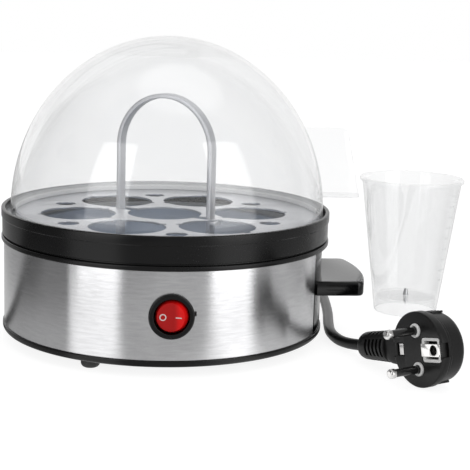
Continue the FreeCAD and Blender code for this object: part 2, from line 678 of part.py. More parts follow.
def build_side_handle():
    reach = s.band_radius + s.grip_length
    corner_reach = reach - s.grip_corner
    side = s.grip_half - s.grip_corner
    corner = root(corner_reach * corner_reach - side * side)
    tip = corner * reach / corner_reach
    tip_half = side * reach / corner_reach
    inner = s.band_radius - s.panel_wall
    start = s.band_radius - s.panel_wall * 6
    outline = [
        (start, -s.grip_half), (corner, -s.grip_half, s.grip_corner), (tip, -tip_half, reach),
        (tip, tip_half, s.grip_corner), (corner, s.grip_half), (start, s.grip_half),
    ]
    grip = padded("grip", "XY_Plane", outline, s.grip_thickness, lift=s.grip_bottom)
    limit = start.worth + s.overrun.worth

    def outer_edge(edge):
        box = edge.BoundBox
        return box.ZLength < s.overrun.worth and box.XMax > limit

    rounded(grip, "grip_round_edges", s.grip_round, outer_edge)
    panel_wall = tube("panel_tube", s.band_radius, inner, s.band_height, (0, 0, s.band_bottom))
    panel_zone = block("panel_zone", s.band_radius, s.panel_half * 2, s.band_height,
                       (s.band_radius, 0, s.band_bottom))
    hook_bottom = s.band_bottom + s.fit_gap
    hook_height = s.band_height - s.fit_gap * 2
    hooks = tube("hook_tube", spigot_outer, spigot_outer - s.hook_wall, hook_height,
                 (0, 0, hook_bottom))
    hook_zone = block("hook_zone", s.band_radius, (s.panel_half + s.hook_width) * 2, hook_height,
                      (s.band_radius, 0, hook_bottom))
    clear = cylinder("grip_clear", inner, s.band_height, (0, 0, s.band_bottom))
    pieces = [cut("grip_cut", grip, clear), shared("panel", [panel_wall, panel_zone]),
              shared("hooks", [hooks, hook_zone])]
    finished("side_handle", join("handle_joined", pieces))


def build_tray():
    """The tray: a disc with six lobed egg holes round a seventh, and six steam holes."""
    body = document.addObject("PartDesign::Body", "tray")
    disc = circle_sketch(body, "tray_disc", [(0, 0, tray_radius)], ledge_top)
    pad = body.newObject("PartDesign::Pad", "tray_pad")
    pad.Profile = disc
    pad.Length = s.tray_sheet.worth
    bind(pad, "Length", s.tray_sheet)
    document.recompute()
    hole_radius = (tray_radius - s.tray_rim - s.egg_web) / 3
    egg_circle = hole_radius * 2 + s.egg_web
    turn = s.egg_turn
    x = egg_circle * cosine(turn)
    y = egg_circle * sine(turn)
    pocket_round(body, "egg_holes", [(x, y, hole_radius)])
    for index, way in enumerate((s.notch_turn, -s.notch_turn, as_size(10))):
        side = turn + way
        pocket_round(body, "notch_%d" % index,
                     [(x + hole_radius * cosine(side), y + hole_radius * sine(side),
                       s.notch_radius)])
    steam = turn + as_size(180.0 / COUNT_OF_EGG_HOLES)
    steam_circle = tray_radius - s.steam_inset
    pocket_round(body, "steam_holes",
                 [(steam_circle * cosine(steam), steam_circle * sine(steam), s.steam_radius)])
    pocket_round(body, "centre_hole", [(0, 0, hole_radius)], copies=False)
    across = hole_radius + s.lobe_step
    for index, side in enumerate((1, -1)):
        pocket_round(body, "lobe_%d" % index,
                     [(across * cosine(s.arch_turn) * side, across * sine(s.arch_turn) * side,
                       s.lobe_radius)], copies=False)
    slot_length = (s.arch_radius + s.fit_gap) * 2
    slot = block("arch_slot", slot_length, s.arch_width + s.fit_gap * 2,
                 s.tray_sheet + s.overrun * 2, (0, 0, ledge_top - s.overrun),
                 Rotation(Vector(0, 0, 1), s.arch_turn.worth))
    finished("egg_tray", cut("tray_cut", body, slot))


def circle_sketch(body, name, circles, lift):
    sketch = body.newObject("Sketcher::SketchObject", name)
    plane = [item for item in body.Origin.OriginFeatures if item.Role == "XY_Plane"][0]
    sketch.AttachmentSupport = (plane, [""])
    sketch.MapMode = "FlatFace"
    sketch.AttachmentOffset = Placement(Vector(0, 0, lift.worth), Rotation())
    sketch.setExpression("AttachmentOffset.Base.z", lift.formula)
    for x, y, radius in circles:
        x, y = as_size(x), as_size(y)
        circle = Part.Circle(Vector(x.worth, y.worth, 0), Vector(0, 0, 1), radius.worth)
        edge = sketch.addGeometry(circle, False)
        limits = (Sketcher.Constraint("DistanceX", -1, 1, edge, 3, x.worth),
                  Sketcher.Constraint("DistanceY", -1, 1, edge, 3, y.worth),
                  Sketcher.Constraint("Radius", edge, radius.worth))
        for limit, size in zip(limits, (x, y, radius)):
            number = sketch.addConstraint(limit)
            sketch.setExpression("Constraints[%d]" % number, size.formula)
    return sketch


def pocket_round(body, name, circles, copies=True):
    """Cuts circles through the tray and repeats them round its axis."""
    sketch = circle_sketch(body, name + "_sketch", circles, tray_top)
    pocket = body.newObject("PartDesign::Pocket", name)
    pocket.Profile = sketch
    pocket.Type = "ThroughAll"
    document.recompute()
    if not copies:
        return
    axis = [item for item in body.Origin.OriginFeatures if item.Role == "Z_Axis"][0]
    pattern = body.newObject("PartDesign::PolarPattern", name + "_pattern")
    pattern.Originals = [pocket]
    pattern.Axis = (axis, [""])
    pattern.Angle = 360
    pattern.Occurrences = COUNT_OF_EGG_HOLES
    body.Tip = pattern
    document.recompute()


def build_arch():
    outer = s.arch_radius
    inner = outer - s.arch_thickness
    spring = s.arch_top - outer
    foot = pan_floor_top + s.arch_foot_gap
    ear = outer + s.ear_reach
    ear_top = ledge_top
    ear_bottom = ear_top - s.ear_height
    outline = [
        (outer, foot), (outer, ear_bottom), (ear, ear_bottom), (ear, ear_top), (outer, ear_top),
        (outer, spring, outer), (0, s.arch_top, outer), (-outer, spring), (-outer, ear_top),
        (-ear, ear_top), (-ear, ear_bottom), (-outer, ear_bottom), (-outer, foot),
        (-inner, foot), (-inner, spring, -inner), (0, spring + inner, -inner), (inner, spring),
        (inner, foot),
    ]
    arch = padded("arch", "XZ_Plane", outline, s.arch_width, middle=True,
                  turn=Rotation(Vector(0, 0, 1), s.arch_turn.worth))
    finished("tray_handle", arch)


def build_lid():
    """The dome with its foot and steam hole, and the tab that is moulded onto its side."""
    shift = s.lid_shift
    centre = tray_top + s.dome_lift
    dome = primitive("Part::Ellipsoid", "dome_outer", (shift, 0, centre), None,
                     Radius1=s.lid_rise, Radius2=lid_radius, Radius3=lid_radius, Angle1=0)
    hollow = primitive("Part::Ellipsoid", "dome_inner", (shift, 0, centre), None,
                       Radius1=s.lid_rise - s.lid_wall, Radius2=lid_radius - s.lid_wall,
                       Radius3=lid_radius - s.lid_wall, Angle1=0)
    foot = cylinder("lid_foot", lid_radius, s.bead_height, (shift, 0, tray_top))
    bore = cylinder("lid_bore", lid_radius - s.lid_bead, s.bead_height + s.overrun,
                    (shift, 0, tray_top - s.overrun))
    direction = Rotation(Vector(0, 0, 1), s.vent_azimuth.worth).multiply(
        Rotation(Vector(0, 1, 0), 90 - s.vent_height.worth))
    vent = cylinder("vent", s.vent_radius, s.lid_rise * 2, (shift, 0, centre), direction)
    finished("lid_dome", cut("lid_cut", join("lid_solid", [dome, foot]),
                             join("lid_inside", [hollow, bore, vent])))
    fin = padded("fin", "XZ_Plane", fin_outline(), s.fin_thickness, middle=True)
    lip_reach = fin_reach - fin_root
    fin_lip = block("fin_lip", lip_reach, s.fin_lip_thickness, s.fin_lip,
                    (fin_root + lip_reach / 2, 0, tray_top + s.fin_bottom))
    space = primitive("Part::Ellipsoid", "dome_space", (shift, 0, centre), None,
                      Radius1=s.lid_rise, Radius2=lid_radius, Radius3=lid_radius, Angle1=0)
    finished("lid_tab", cut("tab_trim", join("tab_solid", [fin, fin_lip]), space))


def fin_outline():
    bottom = tray_top + s.fin_bottom
    top = tray_top + s.fin_top
    corner = s.fin_corner
    return [
        (fin_root, bottom), (fin_reach, bottom), (fin_top_reach, top - corner, corner),
        (fin_top_reach - corner, top), (fin_root, top),
    ]


def build_cup():
    at = (s.cup_x, s.cup_y, 0)
    slope = (s.cup_mouth_radius - s.cup_foot_radius) / s.cup_height
    wall = s.cup_wall
    floor_bottom = s.cup_floor - wall
    bead = s.cup_bead
    bead_bottom = s.cup_height - bead * 2
    outline = [
        (s.cup_foot_radius - wall, 0), (s.cup_foot_radius, 0),
        (s.cup_mouth_radius - slope * bead * 2, bead_bottom),
        (s.cup_mouth_radius + bead, bead_bottom), (s.cup_mouth_radius + bead, s.cup_height),
        (s.cup_mouth_radius - wall, s.cup_height),
        (s.cup_foot_radius - wall + slope * s.cup_floor, s.cup_floor), (0, s.cup_floor),
        (0, floor_bottom), (s.cup_foot_radius - wall + slope * floor_bottom, floor_bottom),
    ]
    finished("measuring_cup", turned("cup", outline, at))
    seat = s.cup_floor
    needle = [
        (0, floor_bottom - s.needle_length), (s.needle_radius, floor_bottom - s.needle_radius * 3),
        (s.needle_radius, floor_bottom), (0, floor_bottom),
    ]
    boss = [(0, seat), (s.boss_radius, seat), (s.boss_radius / 2, seat + s.boss_height),
            (0, seat + s.boss_height)]
    finished("pricking_pin", group("pin_parts", [turned("needle", needle, at),
                                                 turned("boss", boss, at)]))


# Paths for the cord

def arc_between(start, tangent, end):
    """The arc that leaves start along a unit tangent and reaches end."""
    chord = end - start
    along = chord.dot(tangent)
    side = chord - tangent * along
    if side.Length < chord.Length * 1e-6:
        return Part.LineSegment(start, end).toShape()
    radius = chord.dot(chord) / (2 * side.Length)
    centre = start + side * (radius / side.Length)
    middle = (start + end) * 0.5 - centre
    if along < 0:
        middle = -middle
    return Part.Arc(start, centre + middle * (radius / middle.Length), end).toShape()


def biarc(start, start_tangent, end, end_tangent):
    """Two arcs that join two points with given unit tangents."""
    chord = end - start
    both = start_tangent + end_tangent
    spread = 2 * (1 - start_tangent.dot(end_tangent))
    along = chord.dot(both)
    reach = (math.sqrt(along ** 2 + spread * chord.dot(chord)) - along) / spread
    first = start + start_tangent * reach
    second = end - end_tangent * reach
    joint = (first + second) * 0.5
    joint_tangent = (second - first).normalize()
    return [arc_between(start, start_tangent, joint), arc_between(joint, joint_tangent, end)]


def bent_path(points):
    """Straight runs joined by tangent arcs, each as large as its two runs allow."""
    edges = []
    radii = []
    start = points[0]
    for before, corner, after in zip(points, points[1:], points[2:]):
        incoming = (corner - before).normalize()
        outgoing = (after - corner).normalize()
        half = incoming.getAngle(outgoing) / 2
        trim = 0.45 * min((corner - before).Length, (after - corner).Length)
        first = corner - incoming * trim
        last = corner + outgoing * trim
        edges.append(Part.LineSegment(start, first).toShape())
        edges.append(arc_between(first, incoming, last))
        radii.append(trim / math.tan(half))
        start = last
    edges.append(Part.LineSegment(start, points[-1]).toShape())
    return Part.Wire(edges), radii


def swept(path, radius):
    """A round tube along a path."""
    edge = path.OrderedEdges[0] if hasattr(path, "OrderedEdges") else path.Edges[0]
    start = edge.valueAt(edge.FirstParameter)
    direction = edge.tangentAt(edge.FirstParameter)
    section = Part.Wire(Part.makeCircle(radius, start, direction))
    return path.makePipeShell([section], True, False)


def coil_place(turns):
    """A point of the coil: in along the lower layer, up, and out along the upper layer."""
    inward = s.coil_turns.worth
    pitch = s.coil_pitch.worth
    low = s.cord_radius.worth + s.floor_gap.worth
    layer = s.cord_radius.worth * 2 + s.layer_gap.worth
    climb = min(max((turns - inward) / 0.5, 0.0), 1.0)
    depth = min(turns, inward) - max(turns - inward - 0.5, 0.0)
    radius = s.coil_radius.worth - pitch * depth
    height = low + layer * climb * climb * (3 - 2 * climb)
    angle = math.pi - 2 * math.pi * turns
    middle = coil_centre()
    return Vector(middle.x + radius * math.cos(angle), middle.y + radius * math.sin(angle), height)


def coil_centre():
    last = TAIL_ROUTE[-1]
    return Vector(last[0] + s.coil_radius.worth, last[1] + s.straight.worth, 0)


def coil_tangent(turns, last):
    step = 1e-4
    if turns <= 0:
        return Vector(0, 1, 0)
    if turns >= last:
        return Vector(1, 0, 0)
    return (coil_place(turns + step) - coil_place(turns - step)).normalize()


def build_coil():
    total = s.coil_turns.worth * 2 + 0.5
    count = int(round(total * 8))
    stops = [total * index / count for index in range(count + 1)]
    edges = []
    for start, end in zip(stops, stops[1:]):
        edges += biarc(coil_place(start), coil_tangent(start, total),
                       coil_place(end), coil_tangent(end, total))
    path = Part.Wire(edges)
    tube_shape = swept(path, s.cord_radius.worth)
    report_tube("cord_coil", path, tube_shape)
    gap = least_gap(total)
    print("least gap of the coil to itself: %.2f" % gap)
    made("cord_coil", tube_shape)


def least_gap(total):
    """The least free distance between two turns of the coil, on points along it."""
    count = 720
    places = [coil_place(total * index / count) for index in range(count + 1)]
    apart = int(count * 0.35 / total)
    least = min((places[i] - places[j]).Length for i in range(count + 1)
                for j in range(i + apart, count + 1))
    return least - s.cord_radius.worth * 2


def report_tube(name, path, shape):
    expected = math.pi * s.cord_radius.worth ** 2 * path.Length
    print("%s: length %.0f, volume share %.4f" % (name, path.Length, shape.Volume / expected))


def plug_turn():
    """Turns the plug's own frame: pins to the local Z, cord exit to the local -Y."""
    heading = Rotation(Vector(0, 0, 1), s.plug_heading.worth + 90)
    pitch = Rotation(Vector(1, 0, 0), s.plug_pitch.worth)
    upright = Rotation(Vector(0, 1, 0), 90)
    return heading.multiply(pitch).multiply(upright)


def plug_place():
    return Placement(Vector(s.plug_x.worth, s.plug_y.worth, s.plug_radius.worth), plug_turn())


def build_cords():
    radius = s.cord_radius.worth
    nose = Vector(0, s.band_radius.worth + s.gland_nose.worth, s.gland_height.worth)
    start = coil_place(0)
    tail = [nose] + [Vector(*point) for point in TAIL_ROUTE] + [start]
    make_cord("cord_tail", tail, radius)
    total = s.coil_turns.worth * 2 + 0.5
    boot_end = -(s.neck_length.worth + s.boot_length.worth)
    exit_point = plug_place().multVec(Vector(0, boot_end, -s.plug_depth.worth / 2))
    lead_in = plug_place().multVec(
        Vector(0, boot_end - s.straight.worth, -s.plug_depth.worth / 2))
    coil_end = coil_place(total)
    lead = [coil_end, coil_end + Vector(s.straight.worth, 0, 0)]
    lead += [Vector(*point) for point in LEAD_ROUTE] + [lead_in, exit_point]
    make_cord("cord_lead", lead, radius)


def make_cord(name, points, radius):
    path, radii = bent_path(points)
    print("%s: bend radii %s" % (name, " ".join("%.0f" % value for value in radii)))
    shape = swept(path, radius)
    report_tube(name, path, shape)
    made(name, shape)


def build_gland():
    """The gland: a clip inside the band, a flange and a tapered nose with three grooves."""
    flange = s.gland_flange_radius
    start = s.seat_gap
    end = start + s.gland_flange
    clip_front = -(s.band_wall + s.fit_gap * 2)
    outline = [
        (0, -s.gland_inside), (s.gland_radius, -s.gland_inside),
        (s.gland_radius, clip_front - s.gland_clip), (flange - s.seat_gap, clip_front - s.gland_clip),
        (flange - s.seat_gap, clip_front), (s.gland_radius, clip_front), (s.gland_radius, start),
        (flange, start), (flange, end), (s.gland_radius, end),
    ]
    pitch = (s.gland_nose - end) / 7
    taper = (s.gland_radius - s.gland_tip_radius) / 7
    for step in (1, 3, 5):
        near = s.gland_radius - taper * step
        far = near - taper
        outline += [(near, end + pitch * step), (near - s.gland_groove, end + pitch * step),
                    (far - s.gland_groove, end + pitch * (step + 1)),
                    (far, end + pitch * (step + 1))]
    outline += [(s.gland_tip_radius, s.gland_nose), (0, s.gland_nose)]
    at = (0, s.band_radius, s.gland_height)
    finished("cord_gland", turned("gland", outline, at, backward))


def build_plug():
    back = s.plug_depth
    rim = s.plug_rim
    outline = [
        (0, -back), (s.plug_back_radius - s.plug_round, -back, s.plug_round),
        (s.plug_back_radius, s.plug_round - back), (s.plug_back_radius, -rim),
        (s.plug_radius, -(rim - s.plug_edge)), (s.plug_radius, -s.plug_edge, s.plug_edge),
        (s.plug_radius - s.plug_edge, 0), (0, 0),
    ]
    disc = turned("plug_disc", outline)
    half_depth = s.neck_depth / 2
    middle = -(s.plug_depth / 2)
    neck = block("plug_neck", s.neck_width, s.neck_length, s.neck_depth,
                 (0, -(s.neck_length / 2), middle - half_depth))
    holes = [block("plug_slot", s.slot_width, s.slot_depth * 2, back * 3,
                   (0, s.plug_radius, -(back * 1.5))),
             block("contact_seat", s.contact_width, s.contact_height, s.contact_sink + s.overrun,
                   (0, s.contact_lift, -s.contact_sink)),
             block("clip_seat", s.clip_width, s.clip_height, s.contact_sink + s.overrun,
                   (0, -s.clip_drop + s.clip_height, -s.contact_sink)),
             cylinder("contact_bore", s.contact_hole, back / 2, (0, s.contact_lift, -(back / 2)))]
    body = cut("plug_cut", join("plug_joined", [disc, neck]), group("plug_holes", holes))
    plug_node("plug_body", body)
    pins = []
    collars = []
    round_end = s.plug_pin_radius / 2
    shank = s.plug_pin_radius - s.fit_gap
    pin = [
        (0, 0), (shank, 0), (shank, s.collar_height), (s.plug_pin_radius, s.collar_height),
        (s.plug_pin_radius, s.plug_pin_length - round_end, round_end),
        (s.plug_pin_radius - round_end, s.plug_pin_length), (0, s.plug_pin_length),
    ]
    for index, side in enumerate((-0.5, 0.5)):
        at = (s.plug_pin_spacing * side, 0, 0)
        pins.append(turned("plug_pin_%d" % index, pin, at))
        collars.append(tube("pin_collar_%d" % index, s.collar_radius, shank, s.collar_height, at))
    plug_node("plug_pins", group("plug_pin_pair", pins))
    plug_node("pin_collars", group("collar_pair", collars))
    plate = cut("contact_cut",
                block("contact_plate", s.contact_width, s.contact_height, s.contact_sheet,
                      (0, s.contact_lift, -s.contact_sink)),
                cylinder("contact_hole_cut", s.contact_hole, s.contact_sheet + s.overrun * 2,
                         (0, s.contact_lift, -s.contact_sink - s.overrun)))
    clip = block("contact_clip", s.clip_width, s.clip_height, s.contact_sheet,
                 (0, -s.clip_drop + s.clip_height, -s.contact_sink))
    plug_node("plug_earth_contacts", group("contact_pair", [plate, clip]))


def build_boot():
    """The plug's strain relief: a tapered sleeve with slots on four sides and a plain end."""
    middle = -(s.plug_depth / 2)
    length = s.boot_length
    outline = [
        (0, 0), (s.boot_radius, 0), (s.boot_tip_radius, length - s.boot_end),
        (s.boot_tip_radius, length - s.boot_round, s.boot_round),
        (s.boot_tip_radius - s.boot_round, length), (0, length),
    ]
    sleeve = turned("boot_sleeve", outline, (0, -s.neck_length, middle), Rotation(Vector(1, 0, 0), 90))
    pitch = (length - s.boot_end) / s.boot_slots
    cuts = []
    wide = s.boot_radius * 2
    for step in range(int(s.boot_slots.worth)):
        along = -(s.neck_length + pitch * (step + 0.5))
        for side in (1, -1):
            cuts.append(block("side_slot_%d_%d" % (step, side), wide, s.boot_slot_width, wide * 2,
                              ((s.boot_core + wide / 2) * side, along, middle - wide)))
            cuts.append(block("face_slot_%d_%d" % (step, side), s.boot_bridge * 2, s.boot_slot_width,
                              wide, (0, along, middle + (s.boot_core + wide / 2) * side - wide / 2)))
    plug_node("plug_boot", cut("boot_cut", sleeve, group("boot_cuts", cuts)))


def plug_node(name, item):
    """Puts a piece that was made in the plug's own frame where the plug lies."""
    item.Placement = plug_place()
    item.setExpression("Placement.Base.x", s.plug_x.formula)
    item.setExpression("Placement.Base.y", s.plug_y.formula)
    item.setExpression("Placement.Base.z", s.plug_radius.formula)
    finished(name, item)


build_base()
build_feet_and_screws()
build_band()
build_collar()
build_top_ring()
build_pan()
build_heater()
build_clamp()
build_thermal_parts()
build_terminal_block()
build_switch()
build_rocker()
build_side_handle()
build_tray()
build_arch()
build_lid()
build_cup()
build_gland()
build_plug()
build_boot()
build_coil()
build_cords()
document.recompute()

failed = [item.Name for item in document.Objects if "Invalid" in item.State or "Error" in item.State]
for name, item in nodes.items():
    if item.Shape.isNull() or not item.Shape.isValid() or not item.Shape.Solids:
        failed.append(name)
if failed:
    raise RuntimeError("these did not build: " + ", ".join(failed))

os.makedirs("parts", exist_ok=True)
for name, item in nodes.items():
    item.Shape.exportStep("parts/%s.step" % name)
print("wrote %d parts" % len(nodes))
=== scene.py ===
"""Studio scene of an electric egg boiler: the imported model, dressed with detailed pieces and finishes.

Lengths in the code are millimetres and turn into metres where a mesh is made. The boiler's axis is the
Z axis, the switch faces -Y and the side handle points to +X.
"""
import json
import math

import bmesh
import bpy
from mathutils import Matrix, Vector


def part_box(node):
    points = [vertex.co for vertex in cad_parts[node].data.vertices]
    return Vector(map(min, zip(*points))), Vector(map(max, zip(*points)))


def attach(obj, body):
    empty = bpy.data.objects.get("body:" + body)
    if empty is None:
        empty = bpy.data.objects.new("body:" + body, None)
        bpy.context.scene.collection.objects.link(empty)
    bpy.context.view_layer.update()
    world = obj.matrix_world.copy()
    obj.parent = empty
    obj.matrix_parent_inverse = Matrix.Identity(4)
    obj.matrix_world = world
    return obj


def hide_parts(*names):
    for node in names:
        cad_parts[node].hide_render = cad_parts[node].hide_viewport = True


bl_info = {
    "name": "Egg boiler",
    "version": (1, 0, 0),
    "blender": (4, 5, 0),
    "location": "3D View > Sidebar > Egg boiler",
    "description": "Builds an electric egg boiler with its cup and mains cord in a plain studio",
    "category": "Add Mesh",
}

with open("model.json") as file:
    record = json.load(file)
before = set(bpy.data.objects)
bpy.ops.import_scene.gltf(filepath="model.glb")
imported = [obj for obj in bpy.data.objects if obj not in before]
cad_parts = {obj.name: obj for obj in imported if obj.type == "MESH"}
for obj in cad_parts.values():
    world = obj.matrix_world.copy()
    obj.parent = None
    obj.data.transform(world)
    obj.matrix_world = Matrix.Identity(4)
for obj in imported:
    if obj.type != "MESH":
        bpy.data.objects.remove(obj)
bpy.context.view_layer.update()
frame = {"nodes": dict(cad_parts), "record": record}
MM = 0.001
FLOOR_CLEARANCE = 0.05
FLOOR_HALF = 3000.0
WHITE = (1.0, 1.0, 1.0)
CORD_REST = 3.1  # height of the cord's centre line where it lies on the worktop
DRILL_FROM, DRILL_TO = 60.0, 110.0  # reach of a drill, measured from the boiler's axis
NEARLY_STRAIGHT = 1.5  # half of a corner's angle, in radians, from which it stays sharp


def mm_box(node):
    """Lowest and highest corner of a CAD node in millimetres."""
    low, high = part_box(node)
    return low / MM, high / MM


RING_LOW, RING_HIGH = mm_box("top_ring")
BAND_LOW, BAND_HIGH = mm_box("steel_band")
TRAY_LOW, TRAY_HIGH = mm_box("egg_tray")
LID_LOW, LID_HIGH = mm_box("lid_dome")
CUP_LOW, CUP_HIGH = mm_box("measuring_cup")


# Values that a user would change

def length(name, description, default):
    return bpy.props.FloatProperty(name=name, description=description, default=default * MM,
                                   min=0.0, precision=4, unit="LENGTH", subtype="DISTANCE")


def tint(name, description, default):
    return bpy.props.FloatVectorProperty(name=name, description=description, default=default,
                                         min=0.0, max=1.0, size=3, subtype="COLOR")


class EggBoilerSizes(bpy.types.PropertyGroup):
    """Sizes of the boiler's visible pieces"""
    lid_radius: length("Lid radius", "Outer radius of the dome at its foot", 85.8)
    lid_rise: length("Lid rise", "Height of the dome above its widest circle", 95.4)
    lid_wall: length("Lid wall", "Wall thickness of the dome", 2.0)
    band_radius: length("Band radius", "Outer radius of the steel band", 87.7)
    ring_radius: length("Ring radius", "Outer radius of the black ring", 90.0)
    tray_radius: length("Tray radius", "Radius of the egg tray", 87.3)
    egg_hole: length("Egg hole radius", "Radius of one egg hole in the tray", 20.3)
    egg_circle: length("Egg circle radius", "Radius of the circle of egg holes", 47.4)
    arch_radius: length("Arch radius", "Outer radius of the tray's arched handle", 30.2)
    arch_width: length("Arch width", "Width of the arched handle's strap", 6.0)
    grip_reach: length("Grip reach", "How far the side handle reaches from the axis", 111.5)
    cord_width: length("Cord diameter", "Diameter of the mains cord", 6.0)
    cord_length: length("Cord length", "Length of the mains cord", 890.0)


class EggBoilerColours(bpy.types.PropertyGroup):
    """Colours of the boiler's finishes"""
    black: tint("Black plastic", "Ring, base and handle", (0.0012, 0.0012, 0.0014))
    red: tint("Red plastic", "Rocker of the switch", (0.55, 0.005, 0.005))
    steel: tint("Steel", "Brushed band", (0.63, 0.63, 0.64))
    tray: tint("Tray", "Egg tray and its arch", (0.75, 0.76, 0.79))
    pan: tint("Pan", "Coated water pan", (0.40, 0.46, 0.56))
    clear: tint("Clear plastic", "Lid and measuring cup", (0.988, 0.989, 0.990))
    plug: tint("Plug", "Plug and cord", (0.008, 0.008, 0.008))


class EggBoilerStage(bpy.types.PropertyGroup):
    """Camera and light of the studio"""
    lens: bpy.props.FloatProperty(name="Lens", description="Focal length of the camera",
                                  default=96.77, unit="CAMERA")
    box_light: bpy.props.FloatProperty(name="Box light", description="Brightness of the soft boxes",
                                       default=1.85, min=0.0)
    top_light: bpy.props.FloatProperty(name="Top light", description="Brightness of the round lamp",
                                       default=0.75, min=0.0)
    front_grey: bpy.props.FloatProperty(name="Front grey", default=0.50, min=0.0, max=1.0,
                                        description="Brightness of the room in front of the object")


# Shader maths

def maths(operation, reflected=False):
    """A method of Value that adds one Math node."""
    def method(self, *others):
        return self.math(operation, *((*others, self) if reflected else (self, *others)))
    return method


class Value:
    """One socket of a node tree; arithmetic on it adds the Math nodes."""

    def __init__(self, tree, socket):
        self.tree = tree
        self.socket = socket

    def math(self, operation, *values):
        node = self.tree.nodes.new("ShaderNodeMath")
        node.operation = operation
        for socket, value in zip(node.inputs, values):
            feed(self.tree, socket, value)
        return Value(self.tree, node.outputs[0])

    __add__, __radd__ = maths("ADD"), maths("ADD", True)
    __sub__, __rsub__ = maths("SUBTRACT"), maths("SUBTRACT", True)
    __mul__, __rmul__ = maths("MULTIPLY"), maths("MULTIPLY", True)
    __lt__, __gt__ = maths("LESS_THAN"), maths("GREATER_THAN")
    __pow__, __abs__ = maths("POWER"), maths("ABSOLUTE")
    lowest = maths("MINIMUM")


def feed(tree, socket, value):
    """Gives a socket its link or its value."""
    if isinstance(value, Value):
        tree.links.new(value.socket, socket)
    elif socket.type == "RGBA" and len(value) == 3:
        socket.default_value = (*value, 1.0)
    else:
        socket.default_value = value


class Tree:
    """A node tree while it is being filled."""

    def __init__(self, owner):
        owner.use_nodes = True
        self.tree = owner.node_tree
        self.tree.nodes.clear()

    def node(self, kind, settings=None, sockets=None, output=0):
        node = self.tree.nodes.new("ShaderNode" + kind)
        for name, setting in (settings or {}).items():
            setattr(node, name, setting)
        for name, value in (sockets or {}).items():
            feed(self.tree, node.inputs[name], value)
        return Value(self.tree, node.outputs[output])

    def place(self):
        """Position in the piece's own frame, in metres."""
        return self.node("TexCoord", output=3)

    def axes(self, vector):
        """The three parts of a vector."""
        parts = self.node("SeparateXYZ", sockets={0: vector}).socket.node
        return [Value(self.tree, parts.outputs[index]) for index in range(3)]

    def noise(self, scale, detail=3.0, vector=None, roughness=0.5):
        return self.node("TexNoise", sockets={
            "Vector": vector or self.place(), "Scale": scale, "Detail": detail,
            "Roughness": roughness})

    def between(self, value, low, high, to_low=0.0, to_high=1.0):
        """A smooth passage to another number while the value goes from low to high."""
        return self.node("MapRange", {"interpolation_type": "SMOOTHSTEP"}, {
            "Value": value, "From Min": low, "From Max": high, "To Min": to_low, "To Max": to_high})

    def mixed(self, factor, first, second):
        return self.node("Mix", {"data_type": "RGBA"}, {0: factor, 6: first, 7: second}, output=2)

    def grey(self, value):
        return self.node("CombineColor", sockets={0: value, 1: value, 2: value})

    def bump(self, height, distance):
        return self.node("Bump", sockets={"Height": height, "Distance": distance})

    def surface(self, sockets):
        return self.node("BsdfPrincipled", {"distribution": "GGX"}, sockets)

    def close(self, shader, kind="OutputMaterial"):
        out = self.tree.nodes.new("ShaderNode" + kind)
        self.tree.links.new(shader.socket, out.inputs["Surface"])


def new_finish(name):
    """The empty node tree of a new material."""
    return Tree(bpy.data.materials.new(name))


def shaded(colour, share):
    """The colour made darker or brighter, up to full strength."""
    return [min(1.0, part * share) for part in colour]


def moulded(name, colour, roughness, grain, depth, coat=0.0, shine=0.5):
    """Injection moulded plastic with a fine texture and slight unevenness of gloss."""
    tree = new_finish(name)
    fine = tree.noise(1.0 / (grain * MM), 2.0)
    broad = tree.noise(28.0, 3.0)
    gloss = roughness + (broad - 0.5) * (roughness * 0.35) + (fine - 0.5) * (roughness * 0.25)
    shade = tree.mixed(tree.between(broad, 0.3, 0.7), shaded(colour, 0.9), shaded(colour, 1.12))
    tree.close(tree.surface({
        "Base Color": shade, "Roughness": gloss, "Normal": tree.bump(fine, depth * MM),
        "Coat Weight": coat, "Coat Roughness": 0.12, "Specular IOR Level": shine}))


def plated(name, colour, roughness, streak=0.0):
    """Plated or bare metal with faint marks of handling."""
    tree = new_finish(name)
    broad = tree.noise(60.0, 4.0)
    fine = tree.noise(900.0, 2.0)
    tree.close(tree.surface({
        "Base Color": tree.mixed(broad, shaded(colour, 0.88), colour), "Metallic": 1.0,
        "Roughness": roughness + (broad - 0.5) * 0.12 + (fine - 0.5) * streak}))


def sleeved_pin(name, metal, sleeve):
    """Bright metal tip above a dark glossy shank; the piece's own Z axis is the pin's."""
    tree = new_finish(name)
    tip = tree.between(tree.axes(tree.place())[2], 15.3 * MM, 15.5 * MM)
    broad = tree.noise(300.0, 2.0)
    tree.close(tree.surface({
        "Base Color": tree.mixed(tip, sleeve, metal), "Metallic": tip,
        "Roughness": 0.15 + (broad - 0.5) * 0.08}))


def brushed_steel(colour):
    """Sheet steel brushed round the band, so that light spreads upwards and downwards."""
    tree = new_finish("Brushed steel")
    x, y, z = tree.axes(tree.place())
    angle = tree.node("Math", {"operation": "ARCTAN2"}, {0: y, 1: x})
    along = tree.node("CombineXYZ", sockets={0: angle * 0.35, 1: z * 30.0, 2: 0.0})
    fine = tree.noise(260.0, 4.0, along, 0.7)
    broad = tree.noise(28.0, 3.0, along, 0.6)
    patch = tree.noise(16.0, 2.0)
    lines = (fine - 0.5) * 0.75 + (broad - 0.5) * 0.5
    shade = tree.mixed(tree.between(lines, -0.32, 0.32), shaded(colour, 0.80), shaded(colour, 1.14))
    tree.close(tree.surface({
        "Base Color": shade, "Metallic": 1.0,
        "Roughness": 0.18 + lines * 0.11 + (patch - 0.5) * 0.04,
        "Anisotropic": 1.0, "Anisotropic Rotation": 0.25,
        "Normal": tree.bump(fine, 0.012 * MM)}))


